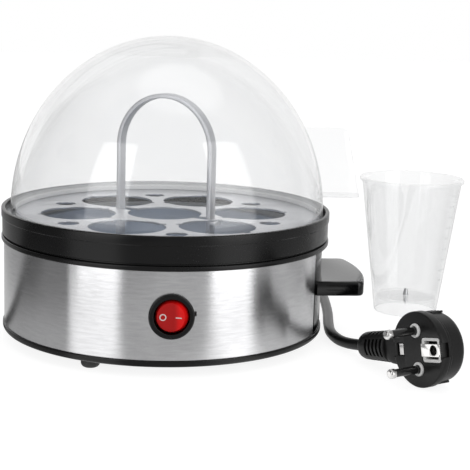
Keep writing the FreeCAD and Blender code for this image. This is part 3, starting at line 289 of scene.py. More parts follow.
def clear_plastic(name, colour, haze, cloud, inside=False, foot=0.0):
    """Clear moulded plastic: slightly milky, and mirroring more where its wall is seen along.

    A foot number makes the zone at the lid's foot milkier. The inside of a wall mirrors less.
    """
    tree = new_finish(name)
    broad = tree.noise(11.0, 2.0)
    facing = tree.node("LayerWeight", sockets={"Blend": 0.5}, output=1)
    y, z = tree.axes(tree.place())[1:]
    through = tree.node("BsdfTransparent", sockets={"Color": tuple(colour)})
    milky = tree.surface({"Base Color": (0.90, 0.905, 0.91), "Roughness": 0.45})
    up = z - LID_LOW.z * MM
    veil = haze * (0.85 + broad * 0.3) + facing ** 3.0 * cloud
    veil = veil + tree.between(up, 2.5 * MM, 3.5 * MM, foot * 0.5, 0.0)
    veil = veil + tree.between(up, 4.4 * MM, 5.4 * MM, foot, 0.0) * (y > 0.0)
    body = tree.node("MixShader", sockets={0: veil, 1: through, 2: milky})
    gloss = tree.node("BsdfGlossy", {"distribution": "GGX"}, {
        "Roughness": 0.035, "Color": WHITE,
        "Normal": tree.bump(tree.noise(24.0, 2.0), 0.02 * MM)})
    rise = facing ** 4.0 * 0.8
    if inside:
        rise = rise * tree.between(facing, 0.48, 0.64, 1.0, 0.0)
    tree.close(tree.node("MixShader", sockets={0: 0.039 + rise, 1: body, 2: gloss}))


def rocker_plastic(colour):
    """Red glossy plastic with a ring and a dash printed on its face, and painted light that makes the
    face brighter towards its +X side and darker elsewhere.
    """
    tree = new_finish("Red rocker")
    x, y, z = tree.axes(tree.place())
    side, half_line = 3.9 * MM, 0.27 * MM
    ring = abs(((x + side) ** 2.0 + y ** 2.0) ** 0.5 - 1.45 * MM) < half_line
    dash = (abs(x - side) < 1.5 * MM) * (abs(y) < half_line)
    mark = (ring + dash).lowest(1.0) * (z > 1.5 * MM)
    broad = tree.noise(180.0, 2.0)
    # Painted light and shade: the face is a brighter red towards its +X side and a darker red elsewhere,
    # with a noisy border between them.
    painted_lit_side = tree.between(x + broad * MM, 2.0 * MM, 5.5 * MM)
    painted_light_red = tree.mixed(painted_lit_side, shaded(colour, 0.85), shaded(colour, 1.6))
    tree.close(tree.surface({
        "Base Color": tree.mixed(mark, painted_light_red, (0.78, 0.70, 0.68)),
        "Roughness": 0.22 + (broad - 0.5) * 0.06, "Specular IOR Level": 0.3}))


# Meshes

def turned(degrees, axis):
    return Matrix.Rotation(math.radians(degrees), 4, axis)


def polar(radius, turn, centre=(0.0, 0.0)):
    """The point at a distance and an angle from a centre."""
    return centre[0] + radius * math.cos(turn), centre[1] + radius * math.sin(turn)


def rounded(corners, radius=0.0, steps=5):
    """The outline with rounded corners; a corner may carry its own radius as a third number."""
    points = []
    count = len(corners)
    for index, corner in enumerate(corners):
        here = Vector(corner[:2])
        back = Vector(corners[index - 1][:2]) - here
        ahead = Vector(corners[(index + 1) % count][:2]) - here
        size = corner[2] if len(corner) > 2 else radius
        half = back.angle(ahead) / 2
        if size <= 0 or half > NEARLY_STRAIGHT:
            points.append(tuple(here))
            continue
        reach = min(size / math.tan(half), back.length * 0.49, ahead.length * 0.49)
        size = reach * math.tan(half)
        centre = here + (back.normalized() + ahead.normalized()).normalized() * (size / math.sin(half))
        start = here + back.normalized() * reach - centre
        end = here + ahead.normalized() * reach - centre
        sweep = start.angle(end)
        for step in range(steps + 1):
            share = step / steps
            swing = start * math.sin((1 - share) * sweep) + end * math.sin(share * sweep)
            points.append(tuple(centre + swing / math.sin(sweep)))
    return points


def bridge(shape, rings, steps, count):
    """Adds the faces between neighbouring rings of a shape; a ring may be a single point."""
    for first, second in zip(rings, rings[1:]):
        for step in range(steps):
            ahead = (step + 1) % count
            corners = (first[step % len(first)], first[ahead % len(first)],
                       second[ahead % len(second)], second[step % len(second)])
            unique = list(dict.fromkeys(corners))
            if len(unique) > 2:
                shape.faces.new(unique)


def lathe(outline, centre=(0.0, 0.0), steps=192, limits=None):
    """A closed outline of (radius, height) turned round an upright axis, or turned between limits."""
    shape = bmesh.new()
    start, sweep = (0.0, math.tau) if limits is None else (limits[0], limits[1] - limits[0])
    count = steps if limits is None else steps + 1
    rings = []
    for radius, height in outline:
        turns = [start + sweep * step / steps for step in range(1 if radius < 1e-6 else count)]
        rings.append([shape.verts.new((*polar(radius, turn, centre), height)) for turn in turns])
    bridge(shape, rings + rings[:1], steps, count)
    if limits is not None:
        for end in (0, -1):
            shape.faces.new([ring[end] for ring in rings])
    bmesh.ops.recalc_face_normals(shape, faces=shape.faces)
    return shape


def plate(outlines, bottom, top, edge=0.3, place=None):
    """A flat plate from its rim outline and its holes, with rounded edges."""
    curve = bpy.data.curves.new("plate", "CURVE")
    curve.dimensions = "2D"
    curve.fill_mode = "BOTH"
    curve.extrude = (top - bottom) / 2 - edge
    curve.bevel_depth = edge
    curve.bevel_resolution = 2
    curve.offset = -edge
    for outline in outlines:
        spline = curve.splines.new("POLY")
        spline.points.add(len(outline) - 1)
        for point, (x, y) in zip(spline.points, outline):
            point.co = (x, y, 0.0, 1.0)
        spline.use_cyclic_u = True
    former = add_object("plate", curve)
    mesh = evaluated_mesh(former)
    bpy.data.objects.remove(former)
    shape = bmesh.new()
    shape.from_mesh(mesh)
    bmesh.ops.remove_doubles(shape, verts=shape.verts, dist=0.001)
    bmesh.ops.translate(shape, verts=shape.verts, vec=(0, 0, (top + bottom) / 2))
    if place is not None:
        bmesh.ops.transform(shape, matrix=place, verts=shape.verts)
    bmesh.ops.recalc_face_normals(shape, faces=shape.faces)
    return shape


def skin(sections):
    """A closed shape through rings with one count of points; the last may be a single point."""
    shape = bmesh.new()
    rings = [[shape.verts.new(point) for point in section] for section in sections]
    count = len(rings[0])
    bridge(shape, rings, count, count)
    shape.faces.new(rings[0][::-1])
    if len(rings[-1]) > 1:
        shape.faces.new(rings[-1])
    bmesh.ops.recalc_face_normals(shape, faces=shape.faces)
    return shape


def mesh_of(name, shape, scale=MM):
    """Turns a shape in millimetres into a mesh in metres."""
    bmesh.ops.scale(shape, vec=(scale, scale, scale), verts=shape.verts)
    mesh = bpy.data.meshes.new(name)
    shape.to_mesh(mesh)
    shape.free()
    return mesh


def add_object(name, data):
    """Puts a new object into the scene."""
    item = bpy.data.objects.new(name, data)
    bpy.context.scene.collection.objects.link(item)
    return item


def evaluated_mesh(item):
    """The mesh of an object after its curve settings or modifiers."""
    bpy.context.view_layer.update()
    return bpy.data.meshes.new_from_object(item.evaluated_get(bpy.context.evaluated_depsgraph_get()))


def merged(shapes):
    """Several shapes as one."""
    whole = bmesh.new()
    for shape in shapes:
        mesh = mesh_of("part", shape, 1.0)
        whole.from_mesh(mesh)
        bpy.data.meshes.remove(mesh)
    return whole


def piece(name, shape, finish, body, nodes=(), place=None, sharp=35.0, lining=None):
    """Turns a shape in millimetres into an object that rides a body and stands for CAD nodes.

    The finish is a material's name. The faces of a hollow piece that look at its own middle can
    have a lining, which is a material's name too.
    """
    mesh = mesh_of(name, shape)
    mesh.materials.append(bpy.data.materials[finish])
    for polygon in mesh.polygons:
        polygon.use_smooth = True
    mesh.set_sharp_from_angle(angle=math.radians(sharp))
    if lining is not None:
        mesh.materials.append(bpy.data.materials[lining])
        middle = sum((vertex.co for vertex in mesh.vertices), Vector()) / len(mesh.vertices)
        for polygon in mesh.polygons:
            away = polygon.center - middle
            if polygon.normal.dot(Vector((away.x, away.y, max(away.z, 0.0)))) < 0:
                polygon.material_index = 1
    item = add_object(name, mesh)
    if place is not None:
        item.matrix_world = place
    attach(item, body)
    if nodes:
        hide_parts(*nodes)
    return item


def drill(item, radius, way, steps):
    """Cuts a round hole through the wall of a piece; the way turns +Z into the drill's direction."""
    bit = lathe([(0.0, DRILL_FROM), (radius, DRILL_FROM), (radius, DRILL_TO), (0.0, DRILL_TO)],
                steps=steps)
    bit.transform(way)
    mesh = mesh_of("drill", bit)
    tool = add_object("drill", mesh)
    cut = item.modifiers.new("Cut", "BOOLEAN")
    cut.operation = "DIFFERENCE"
    cut.object = tool
    result = evaluated_mesh(item)
    item.modifiers.clear()
    former, item.data = item.data, result
    bpy.data.objects.remove(tool)
    bpy.data.meshes.remove(former)
    bpy.data.meshes.remove(mesh)
    result.name = item.name


def arc(radius, start, end, steps, centre=(0.0, 0.0)):
    """Points of an arc, both ends included."""
    turns = [start + (end - start) * step / steps for step in range(steps + 1)]
    return [polar(radius, turn, centre) for turn in turns]


def circle(radius, centre=(0.0, 0.0), steps=48):
    return arc(radius, 0.0, math.tau, steps, centre)[:-1]


def facing(x, y, z):
    """Matrix that turns a shape's +Z axis towards -Y and sets it at a point in millimetres."""
    return Matrix.Translation(Vector((x, y, z)) * MM) @ turned(90.0, "X")


# Operators, one for the stage and one for each group of pieces

class BoilerOperator:
    """What the operators share"""
    bl_options = {"REGISTER", "UNDO"}

    @property
    def sizes(self):
        return bpy.context.scene.egg_boiler_sizes

    @property
    def colours(self):
        return bpy.context.scene.egg_boiler_colours

    def execute(self, context):
        self.build(context)
        return {"FINISHED"}


class EGG_OT_stage(BoilerOperator, bpy.types.Operator):
    """Set up the camera, the floor and the studio light"""
    bl_idname = "egg_boiler.stage"
    bl_label = "Stage"

    def build(self, context):
        stage = context.scene.egg_boiler_stage
        self.add_camera(context, stage)
        for name, place, size, aim in (
                ("Left", (-0.778, -0.719, 0.4965), (0.615, 0.993), (0.517, 0.856)),
                ("Right", (0.757, -0.731, 0.5125), (0.651, 1.025), (-0.413, 0.911))):
            self.add_box(name, place, size, aim, stage.box_light)
        self.add_room(context, stage)
        self.add_floor()
        context.scene.view_settings.view_transform = "Standard"

    def add_camera(self, context, stage):
        place = Vector((-33.7, -689.4, 188.7)) * MM
        yaw, pitch, roll = 6.06, -10.89, 1.67
        turn = turned(-yaw, "Z") @ turned(90.0 + pitch, "X") @ turned(roll, "Z")
        camera = bpy.data.cameras.new("Camera")
        camera.lens = stage.lens
        camera.sensor_width = 36.0
        view = add_object("Camera", camera)
        view.matrix_world = Matrix.Translation(place) @ turn
        context.scene.camera = view

    def add_box(self, name, place, size, aim, brightness):
        light = bpy.data.lights.new(name + " soft box", "AREA")
        light.shape = "RECTANGLE"
        light.size, light.size_y = size
        light.energy = brightness * math.pi * light.size * light.size_y
        box = add_object(name + " soft box", light)
        turn = Vector((*aim, 0.0)).to_track_quat("-Z", "Y").to_matrix().to_4x4()
        box.matrix_world = Matrix.Translation(place) @ turn
        box.visible_camera = False

    def add_room(self, context, stage):
        """The room that is seen in mirrored rays: grey walls, a round lamp and a sheet of paper."""
        world = bpy.data.worlds.new("Studio room")
        context.scene.world = world
        tree = Tree(world)
        x, y, z = tree.axes(tree.node("TexCoord", output=0))
        paper = tree.between(abs(x) - y * 0.9, 0.0, 0.05, 1.0, 0.0) * tree.between(y, 0.0, 0.04)
        paper = paper * tree.between(z - y * 1.68, -0.04, 0.04, 1.0, 0.0)
        ceiling = ((x - 0.09) ** 2.0 + y ** 2.0) ** 0.5
        lamp = tree.between(ceiling, 0.34, 0.47, stage.top_light, 0.0) * (z > 0.0)
        walls = stage.front_grey - tree.between(x, -0.55, -0.80) * 0.35 + lamp
        walls = walls + tree.between(x, 0.25, 0.5) * tree.between(y, 0.3, 0.5, 0.0, 0.28)
        room = walls + (0.96 - walls) * paper
        seen = tree.node("LightPath", output=0)
        tree.close(tree.node("Background", sockets={
            "Color": tree.mixed(seen, tree.grey(room), WHITE)}), "OutputWorld")

    def add_floor(self):
        """The worktop: white to the camera, and grey paper with a dark seam to mirrored rays, where it
        also glows with painted light: pools of the soft boxes' light and a lift over the boiler's
        shadow.
        """
        shape = bmesh.new()
        bmesh.ops.create_grid(shape, x_segments=1, y_segments=1, size=FLOOR_HALF)
        mesh = mesh_of("Floor", shape)
        tree = new_finish("Studio floor")
        x, y = tree.axes(tree.place())[:2]
        seen = tree.node("LightPath", output=0)
        glossy = tree.node("LightPath", output=3)
        table = tree.between(x, -0.25, -0.05, 0.20, 0.47) - tree.between(y, -0.06, 0.045, 0.0, 0.10)
        past = y - abs(x) * 0.27 + 0.012
        seam = tree.between(abs(past), 0.0, 0.020, 0.95, 0.0) * tree.between(x, -0.09, -0.08, 1.0, 0.0)
        table = (table + tree.between(past, 0.008, 0.016, 0.0, 0.25)) * (1 - seam)
        shade = seen * 0.25 + (1 - seen) * table
        # Painted light: a patch beside the boiler that glows to mirrored rays, filling the boiler's
        # shadow on the floor there.
        beside = tree.between(abs(x), 0.14, 0.24, 1.0, 0.0) * tree.between(y, -0.125, -0.10)
        beside = (beside * tree.between(x, -0.05, 0.05, 0.03, 0.30)
                  * tree.between(past, -0.02, 0.0, 1.0, 0.3))
        white = tree.surface({
            "Base Color": tree.grey(shade), "Roughness": 0.9, "Specular IOR Level": 0.1})
        # Painted light: the soft boxes' light laid on the floor as two glowing pools.
        left = self.strip(tree, x, y, (-129.5, -98.4, 0.319, -0.948, 6), (-80, -163, -0.82, 0.572, 8))
        right = self.strip(tree, x, y, (73.3, -168, 0.855, 0.519, 17),
                           (122.1, -118.6, -0.519, -0.855, 12))
        # To mirrored rays the floor glows with painted light: a share of its grey that lifts the
        # boiler's shadow on it, the painted pools of the soft boxes' light and the painted fill beside
        # the boiler.
        glow = tree.node("Emission", sockets={
            "Strength": seen * 0.875 + glossy * (table * 0.4 + (left + right) * 0.84 + beside),
            "Color": WHITE})
        tree.close(tree.node("AddShader", sockets={0: white, 1: glow}))
        mesh.materials.append(bpy.data.materials["Studio floor"])
        floor = add_object("Floor", mesh)
        floor.location.z = -FLOOR_CLEARANCE * MM

    def strip(self, tree, x, y, first, second):
        """A soft box's light on the floor, between two lines of point, inward normal and softness."""
        inside = 1.0
        for px, py, nx, ny, soft in (first, second):
            away = (x - px * MM) * nx + (y - py * MM) * ny
            inside = tree.between(away, -soft * MM, soft * MM) * inside
        return inside


class EGG_OT_finishes(BoilerOperator, bpy.types.Operator):
    """Make the finishes and give them to the pieces that keep their CAD shape"""
    bl_idname = "egg_boiler.finishes"
    bl_label = "Finishes"

    def build(self, context):
        colours = self.colours
        moulded("Black plastic", colours.black, 0.26, 0.9, 0.003, shine=0.30)
        moulded("Handle plastic", colours.black, 0.14, 0.9, 0.004, shine=0.35)
        moulded("Foot rubber", (0.018, 0.018, 0.018), 0.62, 0.6, 0.03)
        moulded("Plug plastic", colours.plug, 0.36, 0.5, 0.03, shine=0.25)
        moulded("Cord jacket", colours.plug, 0.30, 0.8, 0.01, shine=0.25)
        moulded("Collar plastic", (0.92, 0.92, 0.91), 0.4, 0.5, 0.01)
        moulded("White plastic", (0.78, 0.78, 0.76), 0.4, 0.8, 0.01)
        moulded("Brown resin", (0.16, 0.07, 0.03), 0.45, 0.8, 0.02)
        moulded("Silicone", (0.55, 0.55, 0.54), 0.5, 1.0, 0.01)
        plated("Tray metal", colours.tray, 0.36, 0.05)
        plated("Arch metal", colours.tray, 0.45, 0.05)
        moulded("Pan coating", colours.pan, 0.30, 0.8, 0.015, 0.2)
        plated("Pin plating", (0.80, 0.79, 0.78), 0.16)
        sleeved_pin("Sleeved pin", (0.55, 0.545, 0.54), (0.012, 0.012, 0.012))
        plated("Heater sheath", (0.42, 0.41, 0.40), 0.42, 0.1)
        plated("Zinc plated steel", (0.68, 0.69, 0.70), 0.34, 0.1)
        plated("Brass", (0.80, 0.62, 0.30), 0.28)
        brushed_steel(colours.steel)
        clear_plastic("Clear lid", colours.clear, 0.045, 0.06, False, 0.55)
        clear_plastic("Clear lid inside", colours.clear, 0.03, 0.0, True, 0.55)
        clear_plastic("Clear cup", colours.clear, 0.06, 0.30)
        clear_plastic("Clear cup inside", colours.clear, 0.05, 0.0, True)
        rocker_plastic(colours.red)
        renamed = {
            "clear_plastic": "Clear lid", "band_steel": "Brushed steel", "red_plastic": "Red rocker",
            "zinc_steel": "Zinc plated steel", "brass_contact": "Brass",
        }
        for entry in frame["record"]["subparts"]:
            node = frame["nodes"][entry["node"]]
            slot = entry["material_slot"]
            name = renamed.get(slot, slot.replace("_", " ").capitalize())
            node.data.materials.clear()
            node.data.materials.append(bpy.data.materials[name])


class EGG_OT_lid(BoilerOperator, bpy.types.Operator):
    """Build the clear dome and its tab"""
    bl_idname = "egg_boiler.lid"
    bl_label = "Lid"

    def build(self, context):
        sizes = self.sizes
        radius, rise, wall = sizes.lid_radius / MM, sizes.lid_rise / MM, sizes.lid_wall / MM
        shift = (LID_LOW.x + LID_HIGH.x) / 2
        widest = LID_HIGH.z - rise
        bead, steps = 2.8, 60
        turns = [math.radians(90.0 * step / steps) for step in range(steps + 1)]
        outer = [(radius * math.cos(turn), widest + rise * math.sin(turn)) for turn in turns]
        inner = [((radius - wall) * math.cos(turn), widest + (rise - wall) * math.sin(turn))
                 for turn in turns]
        outer[-1], inner[-1] = (0.0, outer[-1][1]), (0.0, inner[-1][1])
        foot = rounded([(radius - bead, LID_LOW.z + bead), (radius - bead, LID_LOW.z),
                        (radius, LID_LOW.z), (radius, widest + 0.5)], 0.5)
        inner = [point for point in inner if point[1] > LID_LOW.z + 3.0]
        shell = lathe(foot[1:-1] + outer + inner[::-1], (shift, 0.0), 160)
        dome = piece("lid_shell", shell, "Clear lid", "lid", ("lid_dome",),
                     sharp=50, lining="Clear lid inside")
        aim = turned(-47.2, "Z") @ turned(59.2, "Y")
        drill(dome, 1.4, Matrix.Translation((shift, 0.0, widest)) @ aim, 32)
        bottom, top = LID_LOW.z + 10.0, LID_LOW.z + 49.0
        root = [(shift + radius * math.cos(turn) - 0.2, widest + rise * math.sin(turn))
                for turn in turns]
        root = [point for point in root if bottom < point[1] < top]
        near, far = root[0][0] + 0.6, 108.6
        outline = ([(near, bottom)]
                   + rounded([(80.0, bottom), (far, bottom, 0.8), (100.6, top, 5.0), (70.0, top)])[1:-1]
                   + [(root[-1][0] - 1.0, top)] + root[::-1])
        tab = plate([outline], -1.5, 1.5, 0.4, turned(90.0, "X"))
        lip = plate([rounded([(near, -2.2), (far, -2.2, 0.8), (far, 2.2, 0.8), (near, 2.2)])],
                    bottom, bottom + 2.4, 0.4)
        piece("lid_handle_tab", merged([tab, lip]), "Clear lid", "lid",
              ("lid_tab",))


class EGG_OT_tray(BoilerOperator, bpy.types.Operator):
    """Build the egg tray and its arched handle"""
    bl_idname = "egg_boiler.tray"
    bl_label = "Tray"

    def build(self, context):
        sizes = self.sizes
        hole, ring = sizes.egg_hole / MM, sizes.egg_circle / MM
        steam_hole, steam_ring = 5.6, 61.8
        arch_degrees = -33.8
        arch_turn = math.radians(arch_degrees)
        holes = []
        for step in range(6):
            turn = math.radians(3.0 + 60.0 * step)
            centre = polar(ring, turn)
            notches = [(hole, turn + math.radians(way), 2.2) for way in (140.0, -140.0, 10.0)]
            holes.append(self.lobed(hole, notches, centre))
            steam = turn + math.radians(30.0)
            holes.append(circle(steam_hole, polar(steam_ring, steam), 40))
        lobes = [(27.0, arch_turn + way, 4.3) for way in (0.0, math.pi)]
        holes.append(self.lobed(hole, lobes, (0.0, 0.0), arch_turn))
        rim = circle(sizes.tray_radius / MM, steps=192)
        sheet = plate([rim] + holes, TRAY_LOW.z, TRAY_HIGH.z, 0.35)
        piece("tray_sheet", sheet, "Tray metal", "tray", ("egg_tray",))
        outer = sizes.arch_radius / MM
        inner = outer - 2.5
        low, high = mm_box("tray_handle")
        spring = high.z - outer
        shelf, under, ear = 66.2, 64.2, outer + 3.6
        outline = (arc(outer, 0.0, math.pi, 64, (0.0, spring))
                   + [(-outer, shelf), (-ear, shelf), (-ear, under), (-outer, under), (-outer, low.z),
                      (-inner, low.z)]
                   + arc(inner, math.pi, 0.0, 64, (0.0, spring))
                   + [(inner, low.z), (outer, low.z), (outer, under), (ear, under), (ear, shelf),
                      (outer, shelf)])
        half = sizes.arch_width / MM / 2
        turn = turned(arch_degrees, "Z") @ turned(90.0, "X")
        piece("tray_arch", plate([outline], -half, half, 0.5, turn), "Arch metal", "tray",
              ("tray_handle",))

    def lobed(self, radius, lobes, centre, slot=None):
        """A round hole with rounder notches, and the slot that the arch's legs pass."""
        points = []
        for step in range(288):
            turn = math.tau * step / 288
            reach = radius
            for away, way, size in lobes:
                side = away * math.sin(turn - way)
                if abs(side) < size and math.cos(turn - way) > 0:
                    reach = max(reach, away * math.cos(turn - way) + math.sqrt(size ** 2 - side ** 2))
            if slot is not None:
                across, along = abs(math.sin(turn - slot)), abs(math.cos(turn - slot))
                reach = max(reach, min(30.5 / max(along, 1e-6), 3.3 / max(across, 1e-6)))
            points.append(polar(reach, turn, centre))
        return points


class EGG_OT_rings(BoilerOperator, bpy.types.Operator):
    """Build the black ring, the collar, the steel band and the base"""
    bl_idname = "egg_boiler.rings"
    bl_label = "Ring, band and base"

    def build(self, context):
        sizes = self.sizes
        black = "Black plastic"
        ring, band = sizes.ring_radius / MM, sizes.band_radius / MM
        foot, top = RING_LOW.z, RING_HIGH.z
        edge = top - 4.6
        aside = (1.0, 0.0)
        lap, shelf, under_shelf = 86.9, 66.2, 64.2
        outline = rounded([
            (lap, foot), (ring - 0.5, foot, 0.5), (ring - 0.45, edge - 0.5, 0.2), (ring, edge, 0.35),
            (ring, top, 0.6), (87.8, top, 0.5), (87.8, shelf), (80.0, shelf, 0.4), (80.0, 60.7, 0.4),
            (81.8, 60.7, 0.4), (81.8, under_shelf), (lap, under_shelf)])
        piece("ring_body", lathe(outline, aside, 224), black, "housing",
              ("top_ring",))
        under = BAND_HIGH.z
        flange = rounded([
            (77.5, 55.0), (84.4, 55.0), (84.4, under - 6.0), (86.8, under - 6.0, 0.3), (86.8, under),
            (ring, under, 0.7), (ring, 56.6, 0.7), (87.9, 56.6, 0.15), (87.9, foot), (77.5, foot)])
        collar = [lathe(flange, aside, 224)]
        for step in range(3):
            turn = math.radians(60.0 + 120.0 * step)
            collar.append(lathe([(1.58, 7.4), (3.2, 7.4), (3.2, 56.0), (1.58, 56.0)],
                                polar(80.0, turn), 32))
        piece("collar_flange", merged(collar), black, "housing", ("band_collar",))
        gap = math.asin(37.8 / band)
        wall = rounded([(band - 0.6, BAND_LOW.z), (band, BAND_LOW.z, 0.2), (band, under, 0.2),
                        (band - 0.6, under)])
        sheet = piece("band_sheet", lathe(wall, steps=200, limits=(gap, math.tau - gap)),
                      "Brushed steel", "housing", ("steel_band",))
        height = (BAND_LOW.z + BAND_HIGH.z) / 2
        for hole, lift, way in ((10.2, height, 90.0), (5.5, 18.0, -90.0)):
            drill(sheet, hole, Matrix.Translation((0.0, 0.0, lift)) @ turned(way, "X"), 64)
        rim = rounded([
            (0.0, 5.8), (70.0, 5.8), (70.8, 5.0, 0.4), (88.5, 5.0, 1.7), (88.5, 8.4, 0.5), (86.8, 8.4),
            (86.8, 14.4, 0.3), (84.4, 14.4, 0.3), (84.4, 7.4), (70.0, 7.4), (69.2, 8.2), (0.0, 8.2)])
        piece("base_shell", lathe(rim, steps=224), black, "housing", ("base_cover",))


class EGG_OT_handle(BoilerOperator, bpy.types.Operator):
    """Build the side handle and its panel"""
    bl_idname = "egg_boiler.handle"
    bl_label = "Side handle"

    def build(self, context):
        sizes = self.sizes
        reach, band = sizes.grip_reach / MM, sizes.band_radius / MM
        blend, side, root = 4.0, 27.5, 86.4
        corner = math.sqrt((reach - blend) ** 2 - side ** 2)
        lean = math.atan2(side, corner)
        start = math.asin(31.5 / root)
        outline = (arc(blend, -math.pi / 2, -lean, 8, (corner, -side))
                   + arc(reach, -lean, lean, 40)[1:-1]
                   + arc(blend, lean, math.pi / 2, 8, (corner, side))
                   + arc(root, start, -start, 24))
        grip = plate([outline], 28.0, 36.0, 1.3)
        half = math.asin(36.3 / band)
        low, high = BAND_LOW.z + 0.05, BAND_HIGH.z - 0.05
        wall = rounded([(band - 2.5, low), (band, low, 0.4), (band, high, 0.4), (band - 2.5, high)])
        panel = lathe(wall, steps=48, limits=(-half, half))
        piece("handle_moulding", merged([grip, panel]), "Handle plastic", "housing",
              ("side_handle",))


class EGG_OT_switch(BoilerOperator, bpy.types.Operator):
    """Build the switch's bezel and its red rocker"""
    bl_idname = "egg_boiler.switch"
    bl_label = "Switch"

    def build(self, context):
        front = -self.sizes.band_radius / MM
        low, high = mm_box("switch_body")
        height = (low.z + high.z) / 2
        outline = rounded([
            (0.0, -16.0), (10.0, -16.0), (10.0, 0.0), (11.5, 0.0, 0.1), (11.5, 2.0, 1.1),
            (8.9, 2.0, 0.35), (8.9, -6.0), (0.0, -6.0)])
        key = plate([[(9.0, 0.1), (12.4, 0.1), (12.4, 2.3), (9.0, 2.3)]], -5.0, 0.0, 0.15)
        piece("switch_bezel", merged([lathe(outline, steps=96), key]), "Black plastic", "housing",
              ("switch_body",), facing(0.0, front, height))
        turns = [math.tau * step / 96 for step in range(96)]
        loops = [[(*polar(8.5, turn), lift) for turn in turns] for lift in (-2.2, 0.0)]
        for inset, drop in ((0.0, 0.55), (0.16, 0.16), (0.55, 0.0)):
            loop = []
            for turn in turns:
                reach = 7.0 - inset
                lift = self.dish(reach * math.cos(turn))
                reach += (4.0 - lift) * 0.37
                loop.append((*polar(reach, turn), lift - drop))
            loops.append(loop)
        for share in (0.85, 0.7, 0.5, 0.3, 0.15):
            reach = 6.45 * share
            loops.append([(*polar(reach, turn), self.dish(reach * math.cos(turn)))
                          for turn in turns])
        loops.append([(0.0, 0.0, self.dish(0.0))])
        tilt = facing(0.0, front + 0.8, height) @ turned(-8.0, "Y")
        piece("rocker_button", skin(loops), "Red rocker", "rocker",
              ("switch_rocker",), tilt)

    def dish(self, x):
        """Height of the rocker's hollow face above its pivots' plane."""
        top, depth, bow = 4.0, 0.9, 26.0
        return top - depth + bow - math.sqrt(bow ** 2 - x ** 2)


class EGG_OT_cup(BoilerOperator, bpy.types.Operator):
    """Build the measuring cup"""
    bl_idname = "egg_boiler.cup"
    bl_label = "Measuring cup"

    def build(self, context):
        centre = ((CUP_LOW.x + CUP_HIGH.x) / 2, (CUP_LOW.y + CUP_HIGH.y) / 2)
        top = CUP_HIGH.z
        base, slope = 17.5, 11.0 / 82.0
        outline = rounded([
            (base, 0.0, 0.4), (19.0, 0.0, 0.4), (30.0 - slope * 2.4, top - 2.4, 0.3),
            (31.2, top - 2.4, 0.4), (31.2, top, 0.6), (28.5, top, 0.4), (base + slope * 9.5, 9.5, 1.2),
            (0.0, 9.5), (0.0, 8.0), (base + slope * 8.0, 8.0, 0.4)])
        shapes = [lathe(outline, centre, 128)]
        for index in range(9):
            lift = 22.0 + 6.5 * index
            reach = 19.0 + slope * lift - 0.15
            half = (2.6 if index % 2 else 1.5) / reach
            mark = [(reach, lift - 0.3), (reach + 0.35, lift - 0.3), (reach + 0.35, lift + 0.3),
                    (reach, lift + 0.3)]
            shapes.append(lathe(mark, centre, 6, (-0.75 - half, -0.75 + half)))
        piece("cup_shell", merged(shapes), "Clear cup", "cup",
              ("measuring_cup",), lining="Clear cup inside")


